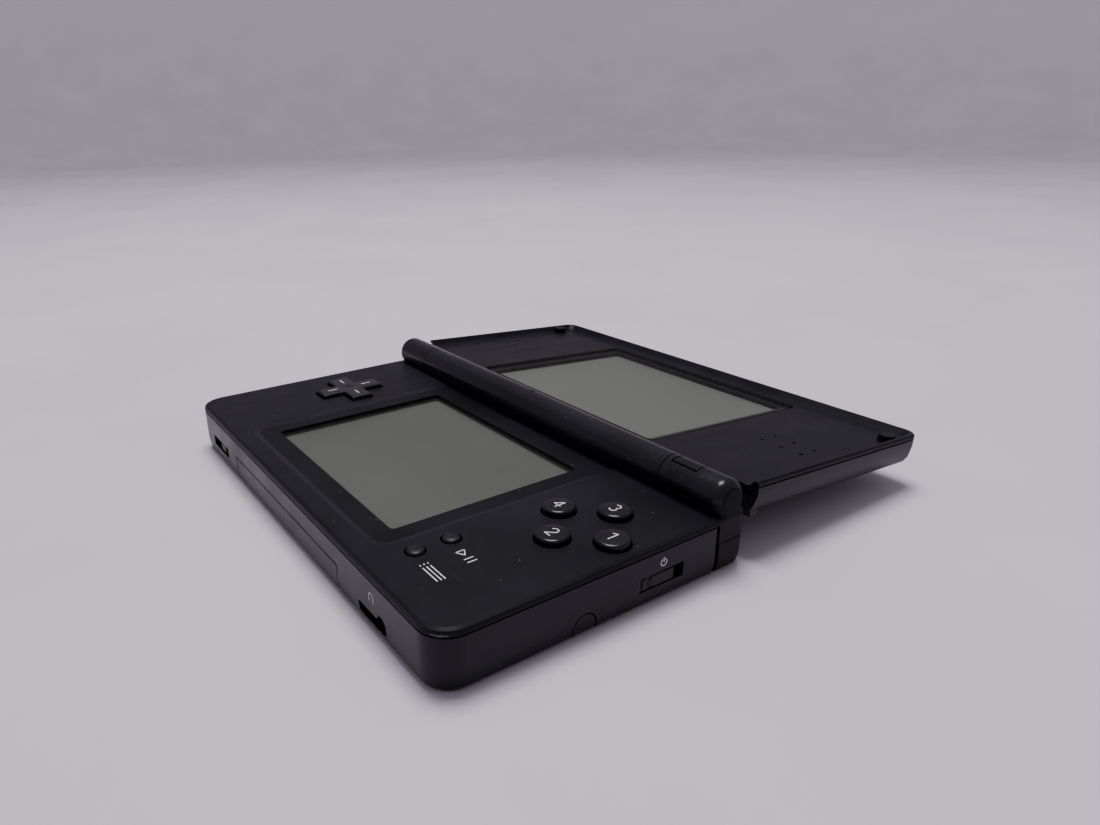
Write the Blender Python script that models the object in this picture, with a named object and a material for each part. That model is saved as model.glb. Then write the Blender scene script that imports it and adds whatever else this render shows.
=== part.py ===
"""A clamshell handheld game console, lying open, as separate pieces.

Metres. +X is the player's right, +Y points to the hinge, +Z is up.
The origin is the middle of the flat underside.
"""

import math

import bmesh
import bpy
from mathutils import Vector

# Whole case
case_width = 0.133
case_depth = 0.0739
base_thickness = 0.0129
lid_thickness = 0.0083
wall = 0.0012
closed_gap = 0.0003
piece_gap = 0.0003
seam_gap = 0.00035
overrun = 0.002
smooth_deg = 35.0
front_corner_radius = 0.006
rear_corner_radius = 0.003

# Edge forms: shares of an inset and of a height, from the flat face to the wall
round_edge_shares = ((1.0, 0.0), (0.55, 0.07), (0.28, 0.22), (0.1, 0.5), (0.0, 1.0))
crown_edge_shares = ((0.0, 0.0), (0.0, 0.35), (0.25, 0.75), (1.0, 1.0))
corner_steps = 6
soft_share = 0.3
base_edge_inset = 0.0021
base_edge_height = 0.0036
deck_side_height = 0.0014
deck_edge_inset = 0.0009
lip_height = 0.0012
lip_thickness = 0.0008

# Hinge
hinge_rise = 0.0028
hinge_inset = 0.0053
lid_droop_deg = 4.0
barrel_radius = 0.0044
barrel_bore = 0.0032
knuckle_length = 0.0165
knuckle_dome = 0.0026
knuckle_flare = 0.0007
dome_steps = 5
dome_end_deg = 78.0
knuckle_arc_deg = (225, -30)
knuckle_arc_steps = 16
trough_steps = 10
trough_gap = 0.0004
trough_sheet = 0.001
trough_drop = 0.0042
shaft_radius = 0.0015
clutch_length = 0.014
bush_length = 0.0055
shaft_reach = 0.0075
cable_bore = 0.0008
round_sides = 32

# Lower screen and its tray
screen_offset = 0.0344
window_width_share = 0.4692
window_height = 0.047
window_radius = 0.001
window_plate = 0.0004
tray_width_share = 0.558
tray_front = 0.0046
tray_depth = 0.0005
tray_slope = 0.0016
tray_radius = 0.005
panel_thickness = 0.0008
panel_margin = 0.0018
display_thickness = 0.0021
display_margin = 0.0026
board_thickness = 0.0008

# Direction pad
pad_inset = 0.0175
pad_y = 0.0017
pad_reach = 0.009
pad_arm = 0.006
pad_round = 0.0006
pad_proud = 0.0011
pad_clearance = 0.0005
pad_flange_radius = 0.0098
pad_flange = 0.0006
pad_flange_drop = 0.001
pad_dish_radius = 0.0024
pad_dish = 0.0004
pad_dish_floor_share = 0.2
nub_radius = 0.0013
nub_height = 0.0005
nub_shares = (0.2, 0.8, 0.3)

# Face buttons and menu buttons
cluster_inset = 0.0136
cluster_y = 0.0049
cluster_arm = 0.008
button_radius = 0.0035
button_proud = 0.0014
button_round = 0.0006
button_clearance = 0.0003
button_flange_margin = 0.0006
button_flange = 0.0007
button_flange_drop = 0.0004
menu_x_share = 0.3135
menu_insets = (0.01825, 0.01045)
menu_radius = 0.0019
menu_proud = 0.0005
button_sides = 24
membrane_thickness = 0.0006
membrane_margin = 0.0006
wireless_inset = 0.0045
wireless_width = 0.018
wireless_y = (-0.032, -0.016)
wireless_thickness = 0.0008

# Volume slider, front left
volume_slot_insets = (0.0117, 0.0245)
volume_slot_low = 0.0037
volume_slot_high = 0.0065
volume_knob_inset = 0.0191
volume_knob_width = 0.0038
slider_recess = 0.0003
slider_flange = 0.0015
slider_flange_reach = 0.002
slider_flange_rise = 0.0007
volume_control_depth = 0.0027

# Power slider, right side
power_slot = (0.0069, 0.0185)
power_slot_low = 0.0039
power_slot_high = 0.007
power_travel = 0.0023
nub_ridge_width = 0.0007
nub_ridge_height = 0.0003
nub_ridge_share = 0.22
power_switch_depth = 0.0035
power_switch_width = 0.007

# Headphone and headset socket, front right
socket_slot_insets = (0.0287, 0.0203)
socket_slot_low = 0.002
socket_slot_high = 0.0044
socket_bore_inset = 0.0193
socket_bore_z = 0.0038
socket_bore = 0.0019
socket_depth = 0.0132
socket_slot_depth = 0.005
socket_margin = 0.0012

# Large card slot and its dust cover, front
cover_insets = (0.0318, 0.0385)
cover_height = 0.0067
cover_leg = 0.0016
cover_foot = 0.0018
cover_foot_depth = 0.0095
tongue_inset = 0.0047
tongue_depth = 0.0185
tongue_thickness = 0.0008
guide_thickness = 0.0008
guide_depth = 0.024
reader_depth = 0.0037
reader_back = 0.0128
reader_slot = 0.0022

# Small card slot, rear middle
card_width = 0.0338
card_height = 0.0043
card_depth = 0.0325
card_wall = 0.0017
card_floor = 0.00065
card_mouth_margin = 0.0004

# Charging socket, rear right
charge_x_share = 0.2368
charge_width = 0.0086
charge_height = 0.0036
charge_low = 0.0026
charge_depth = 0.0065
charge_margin = 0.0012

# Stylus
stylus_y = -0.0062
stylus_length_share = 0.658
stylus_radius = 0.0019
stylus_height = 0.0026
stylus_cap_half = 0.0026
stylus_cap_top = 0.0048
stylus_cap_length = 0.0035
stylus_tip_length = 0.004
stylus_tip_radius = 0.0007
stylus_clearance = 0.0003
stylus_tube_wall = 0.0007
stylus_saddle_deg = 60.0

# Battery
battery_cover_inset = 0.0045
battery_cover_width_share = 0.271
battery_cover_y = (-0.011, 0.024)
battery_margin = 0.0014
battery_front_margin = 0.0045
rib = 0.0009
screw_inset = 0.0016
screw_head = 0.0016
screw_head_height = 0.0004
screw_head_sink = 0.0001
screw_shank = 0.0008
screw_length = 0.005
screw_clearance = 0.0003
boss_radius = 0.0023

# Shoulder buttons
shoulder_length = 0.0156
shoulder_depth = 0.00825
shoulder_top = 0.0071
shoulder_travel_gap = 0.0012
shoulder_side_gap = 0.0006
shoulder_wall = 0.0016
pocket_wall = 0.0008
shoulder_pin_inset = 0.0025
shoulder_pin_back = 0.0031
shoulder_pin_radius = 0.0007
shoulder_pin_reach = 0.0024
pin_sides = 12

# Feet and indicator
foot_side_inset = 0.0095
foot_inset = 0.0069
foot_radius = 0.0029
foot_thickness = 0.0006
lens_insets = (0.015, 0.0085)
lens_span_deg = (52.0, 112.0)
lens_depth = 0.001
lens_steps = 6

# Lid
lid_side_play = 0.0001
lid_reach = 0.0686
lid_near = 0.0062
lid_near_wall = 0.0026
lid_far_radius = 0.0035
lid_near_radius = 0.0008
lid_edge_inset = 0.0042
lid_edge_height = 0.0052
lid_rim_height = 0.001
inner_edge_share = 0.7
lid_rim_inset = 0.0004
lid_rim_width = 0.001
lid_dish = 0.0016
lid_dish_slope = 0.0018
dish_slope_shares = ((0.0, 0.0), (0.3, 0.4), (0.65, 0.85), (1.0, 1.0))
face_thickness = 0.0016
notch_radius = 0.0077
plate_step = 0.0001
neck_overlap = 0.0009
neck_root = 0.004
neck_drop_shares = ((0.0, 0.0), (0.35, 0.5), (0.7, 0.85), (1.0, 0.97))
upper_screen_share = 0.459
upper_window_width_share = 0.4925
upper_window_height_share = 0.825
glass_width_share = 0.53
glass_height_share = 0.885
glass_thickness = 0.0007
glass_radius = 0.002
upper_display_thickness = 0.0024
upper_display_margin = 0.0015
speaker_inset = 0.0136
speaker_y_share = 0.5175
speaker_radius = 0.0075
speaker_thickness = 0.003
hole_radius = 0.00055
hole_columns = 3
hole_rows = 2
hole_pitch_x = 0.0053
hole_pitch_y = 0.0048
hole_sides = 10
bumper_inset = 0.0036
bumper_far_inset = 0.0086
bumper_radius = 0.0019
bumper_proud = 0.00005
bumper_depth = 0.0019
mic_length = 0.004
mic_hole = 0.0006

# Places that follow from the sizes
half_width = case_width / 2
front = -case_depth / 2
rear = case_depth / 2
deck = base_thickness
deck_under = deck - deck_side_height
shell_top = deck_under - seam_gap
screen_y = front + screen_offset
hinge_y = rear - hinge_inset
knuckle_half = half_width - knuckle_length
barrel_half = knuckle_half - piece_gap
shoulder_half = half_width - shoulder_length
shoulder_front = rear - shoulder_depth
lens_window = tuple(half_width - inset for inset in lens_insets)
window_width = case_width * window_width_share
tray_width = case_width * tray_width_share
pad_x = -half_width + pad_inset
cluster_x = half_width - cluster_inset
menu_x = case_width * menu_x_share
menu_y = tuple(front + inset for inset in menu_insets)
wireless_x = -half_width + wireless_inset
volume_slot = tuple(-half_width + inset for inset in volume_slot_insets)
volume_knob_x = -half_width + volume_knob_inset
socket_slot = tuple(half_width - inset for inset in socket_slot_insets)
socket_bore_x = half_width - socket_bore_inset
cover_span = (-half_width + cover_insets[0], half_width - cover_insets[1])
charge_x = case_width * charge_x_share
stylus_length = case_width * stylus_length_share
battery_cover_left = -half_width + battery_cover_inset
battery_cover_x = (battery_cover_left, battery_cover_left + case_width * battery_cover_width_share)
foot_x = half_width - foot_side_inset
hinge_z = deck + hinge_rise
tray_floor = deck - tray_depth
panel_top = tray_floor - window_plate - piece_gap
panel_under = panel_top - panel_thickness
display_top = panel_under - piece_gap
display_under = display_top - display_thickness
board_top = display_under - piece_gap
board_under = board_top - board_thickness
bay_floor = wall + piece_gap
bay_ceiling = board_under - piece_gap
trough_radius = barrel_radius + trough_gap
rim_plane = hinge_rise - closed_gap
lid_face = rim_plane - lid_dish
lid_back = rim_plane - lid_thickness
lid_half = half_width - lid_side_play
face_under = lid_face - face_thickness
lid_clear = lid_reach - lid_near - wall
upper_screen_y = lid_near + wall + lid_clear * upper_screen_share
upper_window_width = case_width * upper_window_width_share
upper_window_height = lid_clear * upper_window_height_share
glass_width = case_width * glass_width_share
glass_height = lid_clear * glass_height_share
speaker_x = half_width - speaker_inset
speaker_y = lid_reach * speaker_y_share
bumper_x = lid_half - bumper_inset
bumper_y = lid_reach - bumper_far_inset


def material(name, colour, roughness, metallic=0.0):
    """A Principled material of one colour."""
    made = bpy.data.materials.new(name)
    made.use_nodes = True
    shader = made.node_tree.nodes["Principled BSDF"]
    shader.inputs["Base Color"].default_value = (*colour, 1.0)
    shader.inputs["Roughness"].default_value = roughness
    shader.inputs["Metallic"].default_value = metallic
    return made


def add(name, mesh, parent=None):
    """A visible object for a mesh whose points are in its parent's frame."""
    made = bpy.data.objects.new(name, mesh)
    bpy.context.scene.collection.objects.link(made)
    made.parent = parent
    return made


def helper(made):
    """Marks an object as a tool for the Booleans."""
    made.hide_render = True
    made.display_type = "WIRE"
    return made


def close_faces(name, points, faces):
    """A mesh from points and faces, with every face turned outwards."""
    mesh = bpy.data.meshes.new(name)
    work = bmesh.new()
    corners = [work.verts.new(point) for point in points]
    for face in faces:
        work.faces.new([corners[index] for index in face])
    bmesh.ops.recalc_face_normals(work, faces=work.faces)
    work.to_mesh(mesh)
    work.free()
    return mesh


def loft(name, rings, parent=None, loop=False):
    """A solid through rings of equal count, capped, or joined end to end."""
    count = len(rings[0])
    points = [point for one in rings for point in one]
    faces = []
    pairs = len(rings) if loop else len(rings) - 1
    for step in range(pairs):
        low = step * count
        high = (step + 1) % len(rings) * count
        for index in range(count):
            after = (index + 1) % count
            faces.append((low + index, low + after, high + after, high + index))
    if not loop:
        faces.append(tuple(range(count)))
        faces.append(tuple(range((len(rings) - 1) * count, len(rings) * count)))
    return add(name, close_faces(name, points, faces), parent)


def prism(name, axis, outline, low, high, parent=None):
    """An outline in the plane across an axis, drawn out from low to high."""
    def point(pair, along):
        values = list(pair)
        values.insert("XYZ".index(axis), along)
        return tuple(values)

    rings = [[point(pair, along) for pair in outline] for along in (low, high)]
    return loft(name, rings, parent)


def block(name, low, high, parent=None):
    """A box between two corners."""
    outline = ((low[0], low[1]), (high[0], low[1]), (high[0], high[1]), (low[0], high[1]))
    return prism(name, "Z", outline, low[2], high[2], parent)


def arc(centre, radius, start_deg, end_deg, steps):
    """Points along an arc, both ends included."""
    points = []
    for step in range(steps + 1):
        angle = math.radians(start_deg + (end_deg - start_deg) * step / steps)
        points.append((centre[0] + radius * math.cos(angle), centre[1] + radius * math.sin(angle)))
    return points


def circle(centre, radius, sides):
    """The corners of a regular polygon that stands for a circle."""
    return arc(centre, radius, 0, 360 * (sides - 1) / sides, sides - 1)


def rounded(x_span, y_span, radius, steps=3):
    """A rectangle with round corners."""
    points = []
    corners = (
        (x_span[1] - radius, y_span[1] - radius, 0),
        (x_span[0] + radius, y_span[1] - radius, 90),
        (x_span[0] + radius, y_span[0] + radius, 180),
        (x_span[1] - radius, y_span[0] + radius, 270),
    )
    for x, y, start in corners:
        points += arc((x, y), radius, start, start + 90, steps)
    return points


def rod(name, axis, centre, radius, low, high, parent=None, sides=round_sides):
    """A cylinder along an axis."""
    return prism(name, axis, circle(centre, radius, sides), low, high, parent)


def turned(name, profile, place, parent=None, sides=button_sides):
    """A solid turned about Z from (radius, height) pairs, with its origin at a place."""
    rings = []
    for radius, height in profile:
        rings.append([(x, y, height) for x, y in circle((0, 0), radius, sides)])
    made = loft(name, rings, parent)
    made.location = place
    return made


def plan_ring(half, y_low, y_high, low_radius, high_radius, height):
    """One level of a case: a rectangle with its own radius at each end."""
    corners = (
        (half - high_radius, y_high - high_radius, high_radius, 0),
        (-half + high_radius, y_high - high_radius, high_radius, 90),
        (-half + low_radius, y_low + low_radius, low_radius, 180),
        (half - low_radius, y_low + low_radius, low_radius, 270),
    )
    points = []
    for x, y, radius, start in corners:
        points += arc((x, y), radius, start, start + 90, corner_steps)
    return [(x, y, height) for x, y in points]


def base_ring(inset, height):
    """The base's outline, drawn in by an inset."""
    return plan_ring(
        half_width - inset,
        front + inset,
        rear - inset,
        front_corner_radius - inset,
        max(rear_corner_radius - inset, rear_corner_radius / 4),
        height,
    )


def lid_ring(inset, height, near=lid_near):
    """The lid's outline, drawn in at its sides and far end only."""
    return plan_ring(
        lid_half - inset,
        near,
        lid_reach - inset,
        lid_near_radius,
        max(lid_far_radius - inset, lid_far_radius / 4),
        height,
    )


def cut(target, *tools):
    """Takes each tool away from the target."""
    combine(target, "DIFFERENCE", tools)


def join(target, *tools):
    """Fuses each tool to the target."""
    combine(target, "UNION", tools)


def combine(target, operation, tools):
    """Adds one exact Boolean for each tool, and hides the tool."""
    for tool in tools:
        step = target.modifiers.new(tool.name, "BOOLEAN")
        step.operation = operation
        step.solver = "EXACT"
        step.object = helper(tool)


def base_body(name, low, high):
    """The base's outer form, solid, between two heights."""
    levels = []
    for inset_share, height_share in round_edge_shares:
        height = base_edge_height * height_share
        if height < high - piece_gap:
            levels.append((base_edge_inset * inset_share, max(height, low)))
    if low > 0:
        levels = [(0, low)]
    levels.append((0, high))
    return loft(name, [base_ring(inset, height) for inset, height in levels])


def make_lower_shell():
    """The tub of the base, with its slots, ribs and pockets."""
    outer = []
    for inset_share, height_share in round_edge_shares:
        outer.append(base_ring(base_edge_inset * inset_share, base_edge_height * height_share))
    outer.append(base_ring(0, shell_top))
    inner = [base_ring(wall, shell_top), base_ring(wall, wall)]
    shell = loft("base_lower_shell", outer + inner)
    add_lower_ribs(shell)
    cut_lower_openings(shell)
    return shell


def add_lower_ribs(shell):
    """The stylus tube, guides, battery bay, screw boss and shoulder pockets."""
    foot = wall / 2
    tube_radius = stylus_radius + stylus_clearance + stylus_tube_wall
    tube_end = half_width - stylus_length - stylus_tube_wall
    tube = rod("stylus_tube", "X", (stylus_y, stylus_height), tube_radius, tube_end, half_width - foot)
    saddle = block(
        "stylus_saddle",
        (tube_end, stylus_y - tube_radius * math.sin(math.radians(stylus_saddle_deg)), foot),
        (half_width - foot, stylus_y + tube_radius * math.sin(math.radians(stylus_saddle_deg)), stylus_height),
    )
    combine(tube, "UNION", [saddle])
    trim = block(
        "stylus_tube_trim",
        (tube_end - overrun, stylus_y - tube_radius * 2, -overrun),
        (half_width + overrun, stylus_y + tube_radius * 2, foot),
    )
    cut(tube, trim)
    join(shell, tube)

    guides = (cover_span[0] - piece_gap * 2 - guide_thickness, cover_span[1] + piece_gap * 2)
    for side, x in zip(("left", "right"), guides):
        join(shell, block(
            f"cartridge_guide_{side}",
            (x, front + foot, foot),
            (x + guide_thickness, front + guide_depth, bay_ceiling - piece_gap),
        ))

    outer_x = (battery_cover_x[0] - piece_gap - rib, battery_cover_x[1] + piece_gap + rib)
    outer_y = (battery_cover_y[0] - piece_gap - rib, battery_cover_y[1] + piece_gap + rib)
    bay = block(
        "battery_bay",
        (outer_x[0], outer_y[0], foot),
        (outer_x[1], outer_y[1], bay_ceiling - piece_gap),
    )
    well = block(
        "battery_well",
        (outer_x[0] + rib, outer_y[0] + rib, -overrun),
        (outer_x[1] - rib, outer_y[1] - rib, base_thickness),
    )
    boss = rod(
        "battery_boss", "Z", screw_place(), boss_radius, bay_floor, bay_ceiling - piece_gap * 2, sides=button_sides
    )
    join(shell, bay)
    cut(shell, well)
    join(shell, boss)
    cut(shell, rod(
        "battery_screw_hole",
        "Z",
        screw_place(),
        screw_shank + screw_clearance,
        0,
        screw_length + piece_gap * 2,
        sides=pin_sides,
    ))

    for side in (-1, 1):
        add_shoulder_pocket(shell, side)


def side_name(side):
    """The word for a side of the case."""
    return "left" if side < 0 else "right"


def span_on(side, inner, outer):
    """Low and high X of a stretch given outwards from the middle."""
    return (inner, outer) if side > 0 else (-outer, -inner)


def add_shoulder_pocket(shell, side):
    """Two walls that close the case behind a shoulder button, and the room for it."""
    name = side_name(side)
    inner = shoulder_half - shoulder_side_gap
    back = shoulder_front - shoulder_travel_gap
    x_low, x_high = span_on(side, inner - pocket_wall, inner)
    join(shell, block(
        f"pocket_side_{name}", (x_low, back - pocket_wall, wall / 2), (x_high, rear - wall / 2, shoulder_top)
    ))
    x_low, x_high = span_on(side, inner - pocket_wall / 2, half_width - wall / 2)
    join(shell, block(
        f"pocket_back_{name}", (x_low, back - pocket_wall, wall / 2), (x_high, back, shoulder_top)
    ))
    x_low, x_high = span_on(side, inner, half_width + overrun)
    cut(shell, block(
        f"pocket_room_{name}", (x_low, back, -overrun), (x_high, rear + overrun, base_thickness)
    ))
    x_low, x_high = span_on(side, corner_block_inner() - piece_gap, half_width + overrun)
    cut(shell, block(
        f"corner_room_{name}",
        (x_low, corner_block_front() - piece_gap, shoulder_top),
        (x_high, rear + overrun, base_thickness),
    ))


def corner_block_inner():
    """Inner end of the solid under each knuckle."""
    return knuckle_half - trough_sheet


def corner_block_front():
    """Front face of the solid under each knuckle."""
    return shoulder_front - piece_gap


def screw_place():
    """The battery cover's screw, near the middle of the cover's front edge."""
    return (sum(battery_cover_x) / 2, battery_cover_y[0] + screw_inset)


def cut_lower_openings(shell):
    """Every opening in the walls and the underside."""
    cut(shell, rod(
        "stylus_bore",
        "X",
        (stylus_y, stylus_height),
        stylus_radius + stylus_clearance,
        half_width - stylus_length - piece_gap,
        half_width + overrun,
    ))
    cut(shell, stylus_cap("stylus_mouth", stylus_clearance, half_width + overrun))

    floor_outline = (
        (front - overrun, -overrun),
        (front + cover_foot_depth + piece_gap, -overrun),
        (front + cover_foot_depth + piece_gap, cover_foot + piece_gap),
        (front + cover_leg + piece_gap, cover_foot + piece_gap),
        (front + cover_leg + piece_gap, cover_height + piece_gap),
        (front - overrun, cover_height + piece_gap),
    )
    cut(shell, prism(
        "cartridge_mouth", "X", floor_outline, cover_span[0] - piece_gap, cover_span[1] + piece_gap
    ))

    cut(shell, block(
        "volume_slot_cut",
        (volume_slot[0], front - overrun, volume_slot_low),
        (volume_slot[1], front + wall + piece_gap, volume_slot_high),
    ))
    cut(shell, block(
        "power_slot_cut",
        (half_width - wall - piece_gap, power_slot[0], power_slot_low),
        (half_width + overrun, power_slot[1], power_slot_high),
    ))
    for tool in socket_tools("socket_mouth", front - overrun, front + wall + piece_gap, 0):
        cut(shell, tool)

    mouth = card_width / 2 + card_mouth_margin
    card_low = bay_floor + card_floor
    cut(shell, prism(
        "card_mouth",
        "Y",
        rounded(
            (-mouth, mouth),
            (card_low - card_mouth_margin, card_low + card_height + card_mouth_margin),
            wall / 4,
            1,
        ),
        rear - wall - piece_gap,
        rear + overrun,
    ))
    cut(shell, prism(
        "charge_mouth",
        "Y",
        rounded(
            (charge_x - charge_width / 2, charge_x + charge_width / 2),
            (charge_low, charge_low + charge_height),
            wall / 2,
            2,
        ),
        rear - wall - piece_gap,
        rear + overrun,
    ))

    cut(shell, block(
        "rear_wall_trim",
        (-knuckle_half, rear - wall - piece_gap, trough_rear_under() - piece_gap),
        (knuckle_half, rear + overrun, base_thickness),
    ))
    for side in (-1, 1):
        cut(shell, rod(
            f"foot_recess_{side_name(side)}",
            "Z",
            (side * foot_x, front + foot_inset),
            foot_radius + piece_gap,
            -overrun,
            foot_thickness + piece_gap,
            sides=button_sides,
        ))


def trough_rear_height():
    """Level that the trough falls to behind the rear wall."""
    return deck - trough_drop


def trough_rear_under():
    """Underside of the trough's sheet at the rear."""
    return trough_rear_height() - trough_sheet / 2


def trough_outline(radius, rear_y, rear_z, top, start_deg):
    """A round trough that falls away to the rear."""
    lowest = 260
    points = arc((hinge_y, hinge_z), radius, start_deg, lowest, trough_steps)
    points.append((rear_y, rear_z))
    points.append((rear_y, top))
    points.append((points[0][0], top))
    return points


def knuckle_outline(radius):
    """A round top whose rear flares out into the case."""
    points = arc((hinge_y, hinge_z), radius, *knuckle_arc_deg, knuckle_arc_steps)
    foot = deck - deck_side_height / 2
    points.append((hinge_y + radius + knuckle_flare * (radius / barrel_radius) ** 2, foot))
    points.append((points[0][0], foot))
    return points


def make_knuckle(side):
    """One hinge knuckle with its domed outer end."""
    name = side_name(side)
    levels = [(knuckle_half, barrel_radius)]
    for step in range(dome_steps + 1):
        angle = math.radians(dome_end_deg) * step / dome_steps
        out = half_width - knuckle_dome + knuckle_dome * math.sin(angle)
        levels.append((out, barrel_radius - knuckle_dome * (1 - math.cos(angle))))
    rings = []
    for x, radius in levels:
        rings.append([(side * x, y, z) for y, z in knuckle_outline(radius)])
    return loft(f"knuckle_{name}", rings)


def make_upper_shell():
    """The deck with its tray, window, button openings, trough and knuckles."""
    levels = []
    for inset_share, height_share in crown_edge_shares:
        levels.append((deck_edge_inset * inset_share, deck_under + deck_side_height * height_share))
    shell = loft("base_upper_shell", [base_ring(inset, height) for inset, height in levels])

    lip_out = wall + piece_gap
    lip_in = lip_out + lip_thickness
    lip_low = deck_under - lip_height
    lip_high = deck_under + deck_side_height / 3
    lip = loft(
        "deck_lip",
        [
            base_ring(lip_out, lip_low),
            base_ring(lip_out, lip_high),
            base_ring(lip_in, lip_high),
            base_ring(lip_in, lip_low),
        ],
        loop=True,
    )
    join(shell, lip)

    for side in (-1, 1):
        name = side_name(side)
        corner = base_body(f"corner_block_{name}", shoulder_top + piece_gap, deck - deck_side_height / 2)
        x_low, x_high = span_on(side, corner_block_inner(), half_width + overrun)
        keep = block(
            f"corner_keep_{name}",
            (x_low, corner_block_front(), 0),
            (x_high, rear + overrun, base_thickness),
        )
        combine(corner, "INTERSECT", [keep])
        join(shell, corner)

    sheet = prism(
        "trough_sheet",
        "X",
        trough_outline(
            trough_radius + trough_sheet,
            rear - deck_edge_inset / 4,
            trough_rear_under(),
            deck - deck_side_height / 3,
            215,
        ),
        -corner_block_inner() - trough_sheet / 2,
        corner_block_inner() + trough_sheet / 2,
    )
    join(shell, sheet)
    trough = prism(
        "trough",
        "X",
        trough_outline(
            trough_radius, rear + overrun, trough_rear_height(), hinge_z + barrel_radius, 180
        ),
        -knuckle_half,
        knuckle_half,
    )
    cut(shell, trough)
    cut(shell, make_tray_tool())
    for side in (-1, 1):
        join(shell, make_knuckle(side))
    cut_deck_openings(shell)
    cut_knuckles(shell)
    return shell


def make_tray_tool():
    """The shallow tray round the lower screen, open towards the trough."""
    rings = []
    for depth, inset in ((-overrun, 0), (0, 0), (tray_depth, tray_slope)):
        rings.append(plan_ring(
            tray_width / 2 - inset,
            front + tray_front + inset,
            hinge_y - trough_gap,
            tray_radius - inset,
            tray_radius - inset,
            deck - depth,
        ))
    return loft("tray", rings)


def cross_outline(reach, half_arm):
    """A plus sign."""
    points = []
    for turn in range(4):
        x_axis = (math.cos(math.radians(90 * turn)), math.sin(math.radians(90 * turn)))
        y_axis = (-x_axis[1], x_axis[0])
        for along, across in ((reach, -half_arm), (reach, half_arm), (half_arm, half_arm)):
            points.append((
                x_axis[0] * along + y_axis[0] * across,
                x_axis[1] * along + y_axis[1] * across,
            ))
    return points


def moved(outline, x, y):
    """An outline shifted in its own plane."""
    return [(point[0] + x, point[1] + y) for point in outline]


def face_buttons():
    """Name and place of each face button."""
    return (
        ("face_button_right", (cluster_x + cluster_arm, cluster_y)),
        ("face_button_lower", (cluster_x, cluster_y - cluster_arm)),
        ("face_button_upper", (cluster_x, cluster_y + cluster_arm)),
        ("face_button_left", (cluster_x - cluster_arm, cluster_y)),
    )


def menu_buttons():
    """Name and place of each menu button."""
    return (("menu_button_rear", (menu_x, menu_y[0])), ("menu_button_front", (menu_x, menu_y[1])))


def cut_deck_openings(shell):
    """The window and the holes for the pad and the buttons."""
    low = deck_under - overrun
    high = deck + overrun
    window = rounded(
        (-window_width / 2, window_width / 2),
        (screen_y - window_height / 2, screen_y + window_height / 2),
        window_radius,
    )
    cut(shell, prism("window", "Z", window, low, high))
    room = panel_margin + piece_gap
    cut(shell, block(
        "panel_room",
        (-window_width / 2 - room, screen_y - window_height / 2 - room, low),
        (window_width / 2 + room, screen_y + window_height / 2 + room, panel_top + piece_gap),
    ))
    cross = cross_outline(pad_reach + pad_clearance, pad_arm / 2 + pad_clearance)
    cut(shell, prism("pad_hole", "Z", moved(cross, pad_x, pad_y), low, high))
    for buttons, radius in ((face_buttons(), button_radius), (menu_buttons(), menu_radius)):
        for name, place in buttons:
            cut(shell, rod(
                f"{name}_hole", "Z", place, radius + button_clearance, low, high, sides=button_sides
            ))
            cut(shell, rod(
                f"{name}_flange_room",
                "Z",
                place,
                radius + button_flange_margin + piece_gap,
                low,
                deck_under - button_flange_drop / 4,
                sides=button_sides,
            ))


def lens_outline(outer, inner, spread_deg):
    """A curved bar across the knuckle's top, seen along the hinge."""
    centre = (hinge_y, hinge_z)
    start = lens_span_deg[0] - spread_deg
    end = lens_span_deg[1] + spread_deg
    return arc(centre, outer, start, end, lens_steps) + arc(centre, inner, end, start, lens_steps)


def cut_knuckles(shell):
    """Bores for the hinge shafts, holes for the shoulder pins, and the lens recess."""
    for side in (-1, 1):
        name = side_name(side)
        x_low, x_high = span_on(side, knuckle_half - overrun, barrel_half + shaft_reach + piece_gap * 2)
        cut(shell, rod(
            f"shaft_bore_{name}",
            "X",
            (hinge_y, hinge_z),
            shaft_radius + piece_gap,
            x_low,
            x_high,
            sides=button_sides,
        ))
        cut(shell, rod(
            f"shoulder_pin_bore_{name}",
            "Z",
            shoulder_pin_place(side),
            shoulder_pin_radius + piece_gap,
            shoulder_top - overrun,
            shoulder_top + piece_gap * 2 + shoulder_pin_reach,
            sides=pin_sides,
        ))
    spread_deg = math.degrees(piece_gap / (barrel_radius - lens_depth))
    cut(shell, prism(
        "lens_recess",
        "X",
        lens_outline(barrel_radius + overrun, barrel_radius - lens_depth - piece_gap, spread_deg),
        lens_window[0] - piece_gap,
        lens_window[1] + piece_gap,
    ))


def stylus_cap(name, margin, outer):
    """The stylus's end: an arch that follows the case's side."""
    radius = stylus_cap_half + margin
    centre_z = stylus_cap_top - stylus_cap_half
    outline = arc((stylus_y, centre_z), radius, 0, 180, pin_sides)
    low = -overrun if margin else 0
    outline += [(stylus_y - radius, low), (stylus_y + radius, low)]
    return prism(name, "X", outline, half_width - stylus_cap_length - margin, outer)


def make_stylus():
    """A rod with a pointed tip and an arched end cap."""
    inner = half_width - stylus_length
    levels = (
        (inner, stylus_tip_radius),
        (inner + stylus_tip_length, stylus_radius),
        (half_width - stylus_cap_length / 2, stylus_radius),
    )
    rings = []
    for x, radius in levels:
        rings.append([(x, y, z) for y, z in circle((stylus_y, stylus_height), radius, button_sides)])
    stylus = loft("stylus", rings)
    cap = stylus_cap("stylus_cap_form", 0, half_width + overrun)
    body = base_body("stylus_cap_limit", 0, shell_top)
    combine(cap, "INTERSECT", [body])
    join(stylus, cap)
    return stylus


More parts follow.
